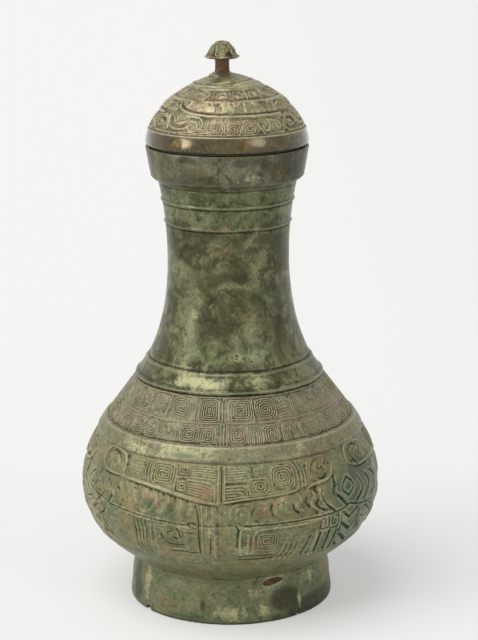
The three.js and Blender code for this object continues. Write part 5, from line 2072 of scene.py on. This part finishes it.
    def hold_within(self, patch: Patch) -> None:
        """Keeps a patch of the belly inside the casting's own reach on each side."""
        turn = np.radians(patch.grid_angle)
        across = np.abs(np.sin(turn)) + 1e-6
        along = np.abs(np.cos(turn)) + 1e-6
        room = np.minimum(SIZES.reach_aside / across, SIZES.reach_ahead / along) - patch.radius[:, None]
        patch.offset = np.minimum(patch.offset, np.maximum(room, -1.6))

    def shoulder(self) -> None:
        """Makes the plain raised band and the two rows of spirals under the shoulder ridge, with a painted highlight on
        the band's left.
        """
        strokes = leiwen_strokes(self.body)
        for number in range(3):
            start = SEAM + 120 * number - 60
            patch = self.patch(f"leiwen_{number + 1}", self.body, self.spirals_span, angles=(start, start + 120),
                               cell=0.4, tuck=(1.2, 1.2))
            undulate(patch, 0.2, 0.06, 0.04, 0.15)
            z = patch.grid_height
            plain = window(z, (125.0, 127.4), (134.4, 135.6))
            rows = window(z, (135.4, 136.2), (164.6, 165.4))
            patch.offset += 0.7 * plain - 0.9 * rows
            patch.offset += 0.8 * patch.stamp(strokes) * patch.wear(0.8, 0.35, 0.45) * rows
            patch.contrast = 1.4
            patch.stains_and_painted_light[Tint.GREEN] = 0.5 * plain
            # Pale patina on the plain band, plus a painted highlight that is strongest 30 degrees left of the front and
            # fades round the back.
            shown = np.interp(np.abs(patch.grid_angle + 30), [0, 25, 60], [0.6, 0.3, 0.1])
            patch.stains_and_painted_light[Tint.PALE] = plain * (shown + 0.4 * patch.grain(FADE))
            self.finish(patch, "leiwen")

    def neck(self) -> None:
        """Makes the plain neck with its two thin ridges."""
        patch = self.patch("neck_skin", self.body, self.neck_span, cell=0.8, tuck=(1.6, 1.0))
        undulate(patch, 0.4, 0.06, 0.03, 0.22)
        patch.stains_and_painted_light[Tint.GREEN] = 0.55 * smooth(patch.grid_height, 258, 284)
        patch.ridge(166.0, 2.4, 0.9, 0.15)
        patch.ridge(168.2, 1.6, -0.3, 0.15)
        patch.offset += 0.35 * smooth(patch.grid_height, 166, 166.6) * (1 - smooth(patch.grid_height, 176.4, 177))
        patch.ridge(SIZES.shoulder_height, 2.4, 0.8, 0.3)
        patch.ridge(SIZES.shoulder_height + 2.2, 1.8, -0.45, 0.3)
        for height in self.neck_ridges:
            patch.ridge(height, 1.9, 0.9, 0.35)
            patch.ridge(height - 1.8, 1.5, -0.4, 0.35)
        self.finish(patch, "neck")

    def collar_ring(self) -> None:
        """Makes the collar, the rim and the bore of the mouth."""
        wall = self.collar
        patch = Patch("collar_skin", wall, (0.0, wall.length), cell=0.7, tuck=(1.0, 0.5))
        undulate(patch, 0.25, 0.05, 0.03, 0.15)
        patch.ridge(307.4, 1.2, 0.35, 0.4)
        patch.offset = np.minimum(patch.offset, 0.4)
        at_rim = patch.grid_height > SIZES.rim_height - 1.5
        patch.offset[at_rim] = np.minimum(patch.offset[at_rim], 0)
        self.finish(patch, "collar", COLLAR_STAINS_AND_PAINTED_SHADE)


@dataclass
class Cover:
    """The lid and its knob."""

    materials: dict[str, Material]
    lining_depth: float = 1.6
    band_top: float = 340.6
    dome_foot: float = 339.4
    crown_hole: float = 2.0
    divider: float = 353.6
    upper_line: float = 362.4
    lines: tuple[tuple[float, ...], ...] = ((339.8, 1.5, 0.5), (341.8, 1.2, 0.4), (370.4, 1.0, 0.35, 0.6))
    groove: float = 372.4
    spacer_angles: tuple[float, ...] = (-38.0, 8.0, 165.0)
    spacer_reach: float = 4.6
    spacer_span: Point = (332.2, 337.8)
    stem_head: float = 367.6

    def __post_init__(self) -> None:
        """Lays out the wall."""
        self.wall = lid_wall(SIZES)

    def build(self) -> None:
        """Makes every piece of the lid and its knob."""
        self.lining()
        self.edge_band()
        self.dome()
        self.spacers()
        self.knob_stem()
        self.knob_cap()

    def lining(self) -> None:
        """Makes the lid's inside and its flange as one closed turning."""
        s, wall = SIZES, self.wall
        arcs = np.linspace(float(wall.arc_at(s.lip_height + s.lip_round)), wall.length, 40)
        outer, inner = wall.inset(arcs, self.lining_depth), wall.inset(arcs, s.lid_wall)
        ledge = s.seat + s.lid_wall
        hollow = [p for p in inner if p[1] > ledge + 1]
        flange = [(s.flange_in, ledge), (s.flange_in, s.flange_bottom), (s.flange_out, s.flange_bottom)]
        seat = [(s.flange_out, s.seat), (s.seat_edge, s.seat), (s.seat_edge, s.lip_height + 0.2)]
        profile = [*hollow[::-1], *flange, *seat, *outer]
        profile[0] = (0.0, profile[0][1])
        profile[-1] = (0.0, profile[-1][1])
        piece = turned_object("lid_lining", profile, 96)
        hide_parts("lid_casting")
        dress(piece, self.materials["inside"], "cover")

    def edge_band(self) -> None:
        """Makes the plain polished band over the lid's lip."""
        top = float(self.wall.arc_at(self.band_top))
        patch = Patch("lid_band", self.wall, (0.0, top), cell=0.6, tuck=(0.3, 1.0))
        undulate(patch, 0.25, 0.03, 0.012, 0.08)
        patch.offset = np.minimum(patch.offset, 0)
        patch.stain_and_paint_light(stains_and_painted_light(Tint.GREEN, (-70, 333, 9, 3, 0.8), (60, 334, 8, 3, 0.6)))
        dress(patch.build(), self.materials["band"], "cover")

    def dome(self) -> None:
        """Makes the ornamented dome in two halves."""
        strokes = in_each_section(self.wall, lid_lower, lid_upper)
        low = float(self.wall.arc_at(self.dome_foot))
        for number in range(2):
            start = -90.0 + 180 * number
            patch = Patch(f"lid_dome_{number + 1}", self.wall, (low, self.wall.length - self.crown_hole),
                          (start, start + 180), cell=0.45, tuck=(1.0, 0.3))
            undulate(patch, 0.25, 0.08, 0.06, 0.12)
            self.ornament(patch, strokes)
            for line in self.lines:
                patch.ridge(*line)
            self.groove_round_knob(patch)
            patch.offset = np.minimum(patch.offset, 0.6)
            patch.stain_and_paint_light(LID_STAINS)
            dress(patch.build(), self.materials["lid"], "cover")

    def ornament(self, patch: Patch, strokes: list[Stroke]) -> None:
        """Raises the bands of curls, the lines between them and the rough ground that one line climbs over.

        Args:
            patch: Half of the dome.
            strokes: The strokes of both bands.
        """
        z = patch.grid_height
        local = (patch.grid_angle + 67) % 120 - 67
        divide = self.divider + np.interp(local, (-54, -51, -49, -44, -40, -33, -25, -12, 53),
                                          (9, 7.4, 5.2, 3.4, 2.4, 1.5, 0.8, 0, 0))
        divided = window(local, (-53, -50), (52, 53))
        bands = window(z, (340.4, 341.4), (368.4, 369.6))
        rough = smooth(z, divide + 1.6, divide + 2.4) * (1 - smooth(z, 361.4, 362.2)) * divided
        lumps = LUMPS.at(patch.grid_angle * 1.7, patch.grid_arc * 1.4)
        lines = np.zeros(z.shape)
        for height, share in ((divide, divided), (self.upper_line, np.ones(z.shape))):
            sway = z - height - 0.3 * patch.grain(LUMPS)
            lines = np.maximum(lines, (1 - smooth(np.abs(sway), 0.3, 1.1)) * share)
        shape = np.maximum(patch.stamp(strokes) * bands * (1 - rough), lines)
        wear = patch.wear(0.85, 0.4, 0.45)
        patch.contrast = 1.25
        patch.offset += -0.7 * bands + 0.9 * shape * wear
        patch.offset += rough * (0.35 + 0.55 * smooth(lumps, -0.3, 0.25) * wear)
        patch.stains_and_painted_light[Tint.PALE] = 0.6 * rough * smooth(lumps, -0.2, 0.3)

    def groove_round_knob(self, patch: Patch) -> None:
        """Cuts the groove that runs round the knob, and raises the low ridge outside it."""
        turn, out = np.radians(patch.grid_angle), patch.radius[:, None]
        away = np.hypot(out * np.sin(turn) - SIZES.knob, out * np.cos(turn))
        away = away - (float(np.interp(self.groove, self.wall.heights, self.wall.radii)) + 0.5 * patch.grain(WAVES))
        patch.offset -= 0.4 * np.exp(-((away / 0.9) ** 2))
        patch.offset += 0.25 * np.exp(-(((away - 2.2) / 0.9) ** 2))

    def spacers(self) -> None:
        """Makes the rough faces of the three spacers cast into the lid's edge."""
        for number, angle in enumerate(self.spacer_angles, 1):
            patch = Patch(f"spacer_face_{number}", self.wall, self.wall.span(*self.spacer_span),
                          (angle - self.spacer_reach, angle + self.spacer_reach), cell=0.35, tuck=(0.6, 0.6))
            patch.offset += 0.25 * patch.grain(LUMPS, 1.6)
            patch.offset += 0.12 * patch.grain(CRUST)
            patch.offset = np.minimum(patch.offset, 0.3)
            piece = patch.build()
            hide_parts(f"lid_spacer_{number}")
            dress(piece, self.materials["spacer"], "cover")

    def knob_stem(self) -> None:
        """Makes the stem with its head inside the lid, and the pad that it stands on."""
        s, head = SIZES, self.stem_head
        profile = [
            (0, head - 2.2), (5.3, head - 2.2), (6.4, head - 1.1), (6.4, head), (3.2, head), (3.2, s.pad_top - 0.5),
            (s.stem + 0.3, s.pad_top - 0.2), (s.stem + 0.1, s.pad_top + 1.2), (s.stem - 0.1, 382), (s.stem - 0.1, 385),
            (s.stem + 0.2, s.cap_under + 0.1), (0, s.cap_under + 0.1),
        ]
        stem = turned_object("stem_turned", profile, 48, s.knob)
        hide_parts("knob_stem")
        dress(stem, self.materials["stem"], "cover")
        top = [(0, s.pad_top - 2.6), (s.pad + 2.6, s.pad_top - 2.6), (s.pad + 1.6, s.pad_top - 1.5),
               (s.pad + 0.2, s.pad_top - 0.7), (s.pad - 0.8, s.pad_top - 0.1), (s.pad - 1.2, s.pad_top), (0, s.pad_top)]
        dress(turned_object("crown_pad", top, 48, s.knob), self.materials["lid"], "cover")

    def knob_cap(self) -> None:
        """Makes the lobed mushroom cap with its curls."""
        wall = cap_wall(SIZES)
        patch = Patch("cap_lobed", wall, (0.0, wall.length), cell=0.3, tuck=(0.0, 0.0))
        z = patch.grid_height
        lobes = 0.5 - 0.5 * np.cos(np.radians(6 * patch.grid_angle))
        brim = window(z, (386.9, 388.2), (391, 395))
        patch.offset -= 0.5 * lobes * brim
        patch.offset += -0.6 * smooth(z, 389, 390.5) + 0.6 * patch.stamp(cap_strokes(wall))
        undulate(patch, 0.15, 0.18, 0.12, 0.2)
        patch.offset = np.minimum(patch.offset, 0)
        patch.contrast = 1.8
        piece = patch.build()
        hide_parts("knob_cap")
        dress(piece, self.materials["cap"], "cover")


# The studio


@dataclass
class Studio:
    """A pale floor under soft light, and the camera that was fitted to the photograph."""

    floor_size: float = 16.0
    white: float = 0.9
    glow: float = 0.42
    lift: float = 0.4
    camera_place: tuple[float, float, float] = (0.00713, -1.3703, 0.5419)
    camera_dip: float = 0.2433
    camera_swing: float = -0.0081
    lens: float = 111.85
    film: float = 36.0

    def build(self) -> None:
        """Adds the floor, the lights, the world and the camera."""
        self.floor()
        self.world()
        self.sun("key", azimuth=-56, elevation=62, spread=50, strength=1.75)
        self.sun("side", azimuth=-64, elevation=14, spread=20, strength=0.65)
        self.sun("fill", azimuth=46, elevation=20, spread=22, strength=0.36)
        self.camera()

    def floor(self) -> None:
        """Adds the floor, whose glow seen by the camera carries painted shade that darkens it towards the right."""
        bpy.ops.mesh.primitive_plane_add(size=self.floor_size)
        plane = bpy.context.active_object
        plane.name = "studio_floor"
        made, g = new_material("floor_paper")
        shader = g.node("ShaderNodeBsdfPrincipled")
        shader.inputs["Base Color"].default_value = (0.9, 0.896, 0.886, 1)
        shader.inputs["Roughness"].default_value = 0.9
        shader.inputs["Specular IOR Level"].default_value = 0.1
        place = g.node("ShaderNodeSeparateXYZ")
        g.feed(place.inputs[0], g.node("ShaderNodeTexCoord").outputs["Object"])
        pale = g.node("ShaderNodeEmission")
        # Painted shade: the floor's glow darkens from 0.93 on the left to 0.84 on the right.
        painted_shade_tone = g.mix(g.step(place.outputs["X"], -0.2, 0.5), (0.93, 0.925, 0.915, 1), (0.84, 0.845, 0.83, 1))
        g.feed(pale.inputs["Color"], painted_shade_tone)
        blend = g.node("ShaderNodeMixShader")
        g.feed(blend.inputs[0], g.math("MULTIPLY", self.seen(g), self.lift))
        g.feed(blend.inputs[1], shader.outputs[0])
        g.feed(blend.inputs[2], pale.outputs[0])
        g.feed(g.node("ShaderNodeOutputMaterial").inputs["Surface"], blend.outputs[0])
        plane.data.materials.append(made)

    def seen(self, g: Graph) -> Socket:
        """Returns 1 where the background is looked at, directly or mirrored in the bronze."""
        path = g.node("ShaderNodeLightPath").outputs
        return g.math("MAXIMUM", path["Is Camera Ray"], path["Is Glossy Ray"])

    def world(self) -> None:
        """Lights the room evenly and keeps the background white for the camera."""
        world = bpy.data.worlds.new("studio")
        bpy.context.scene.world = world
        world.use_nodes = True
        world.node_tree.nodes.clear()
        g = Graph(world.node_tree)
        level = g.math("MULTIPLY_ADD", self.seen(g), self.white - self.glow, self.glow)
        shader = g.node("ShaderNodeBackground")
        shader.inputs["Color"].default_value = (1, 1, 0.995, 1)
        g.feed(shader.inputs["Strength"], level)
        g.feed(g.node("ShaderNodeOutputWorld").inputs["Surface"], shader.outputs[0])

    def sun(self, name: str, azimuth: float, elevation: float, spread: float, strength: float) -> None:
        """Adds a large soft light far off.

        Args:
            name: Its name.
            azimuth: Where it stands, in degrees to the right of the front.
            elevation: How high it stands, in degrees.
            spread: How wide it looks from the jar, in degrees.
            strength: Its irradiance.
        """
        turn, rise = math.radians(azimuth), math.radians(elevation)
        towards = Vector((math.sin(turn) * math.cos(rise), -math.cos(turn) * math.cos(rise), math.sin(rise)))
        bpy.ops.object.light_add(type="SUN", location=towards * 3)
        lamp = bpy.context.active_object
        lamp.name = name
        lamp.rotation_euler = towards.to_track_quat("Z", "Y").to_euler()
        lamp.data.energy = strength
        lamp.data.angle = math.radians(spread)

    def camera(self) -> None:
        """Adds the camera where the photograph was taken from."""
        bpy.ops.object.camera_add(location=self.camera_place)
        camera = bpy.context.active_object
        camera.name = "photo_camera"
        tilt = Matrix.Rotation(math.pi / 2 - self.camera_dip, 4, "X") @ Matrix.Rotation(self.camera_swing, 4, "Z")
        camera.rotation_euler = tilt.to_euler()
        camera.data.sensor_fit = "VERTICAL"
        camera.data.sensor_height = camera.data.sensor_width = self.film
        camera.data.lens = self.lens
        bpy.context.scene.camera = camera


def keep_spacers(frame: dict, material: Material) -> None:
    """Gives the floor's spacers, which stay as the frame has them, their bronze.

    Args:
        frame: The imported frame.
        material: Their bronze.
    """
    for number in range(1, 5):
        node = frame["nodes"][f"floor_spacer_{number}"]
        node.data.materials.clear()
        node.data.materials.append(material)


def main() -> None:
    """Builds the jar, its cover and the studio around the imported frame."""
    logging.basicConfig(level=logging.INFO, format="%(message)s")
    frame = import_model()
    bpy.context.scene.view_settings.view_transform = "Standard"
    patina_group()
    materials = {key: patina_material(finish) for key, finish in FINISHES.items()}
    materials["clay"] = clay_material()
    Jar(materials).build()
    Cover(materials).build()
    keep_spacers(frame, materials["spacer"])
    Studio().build()


if __name__ == "__main__":
    main()
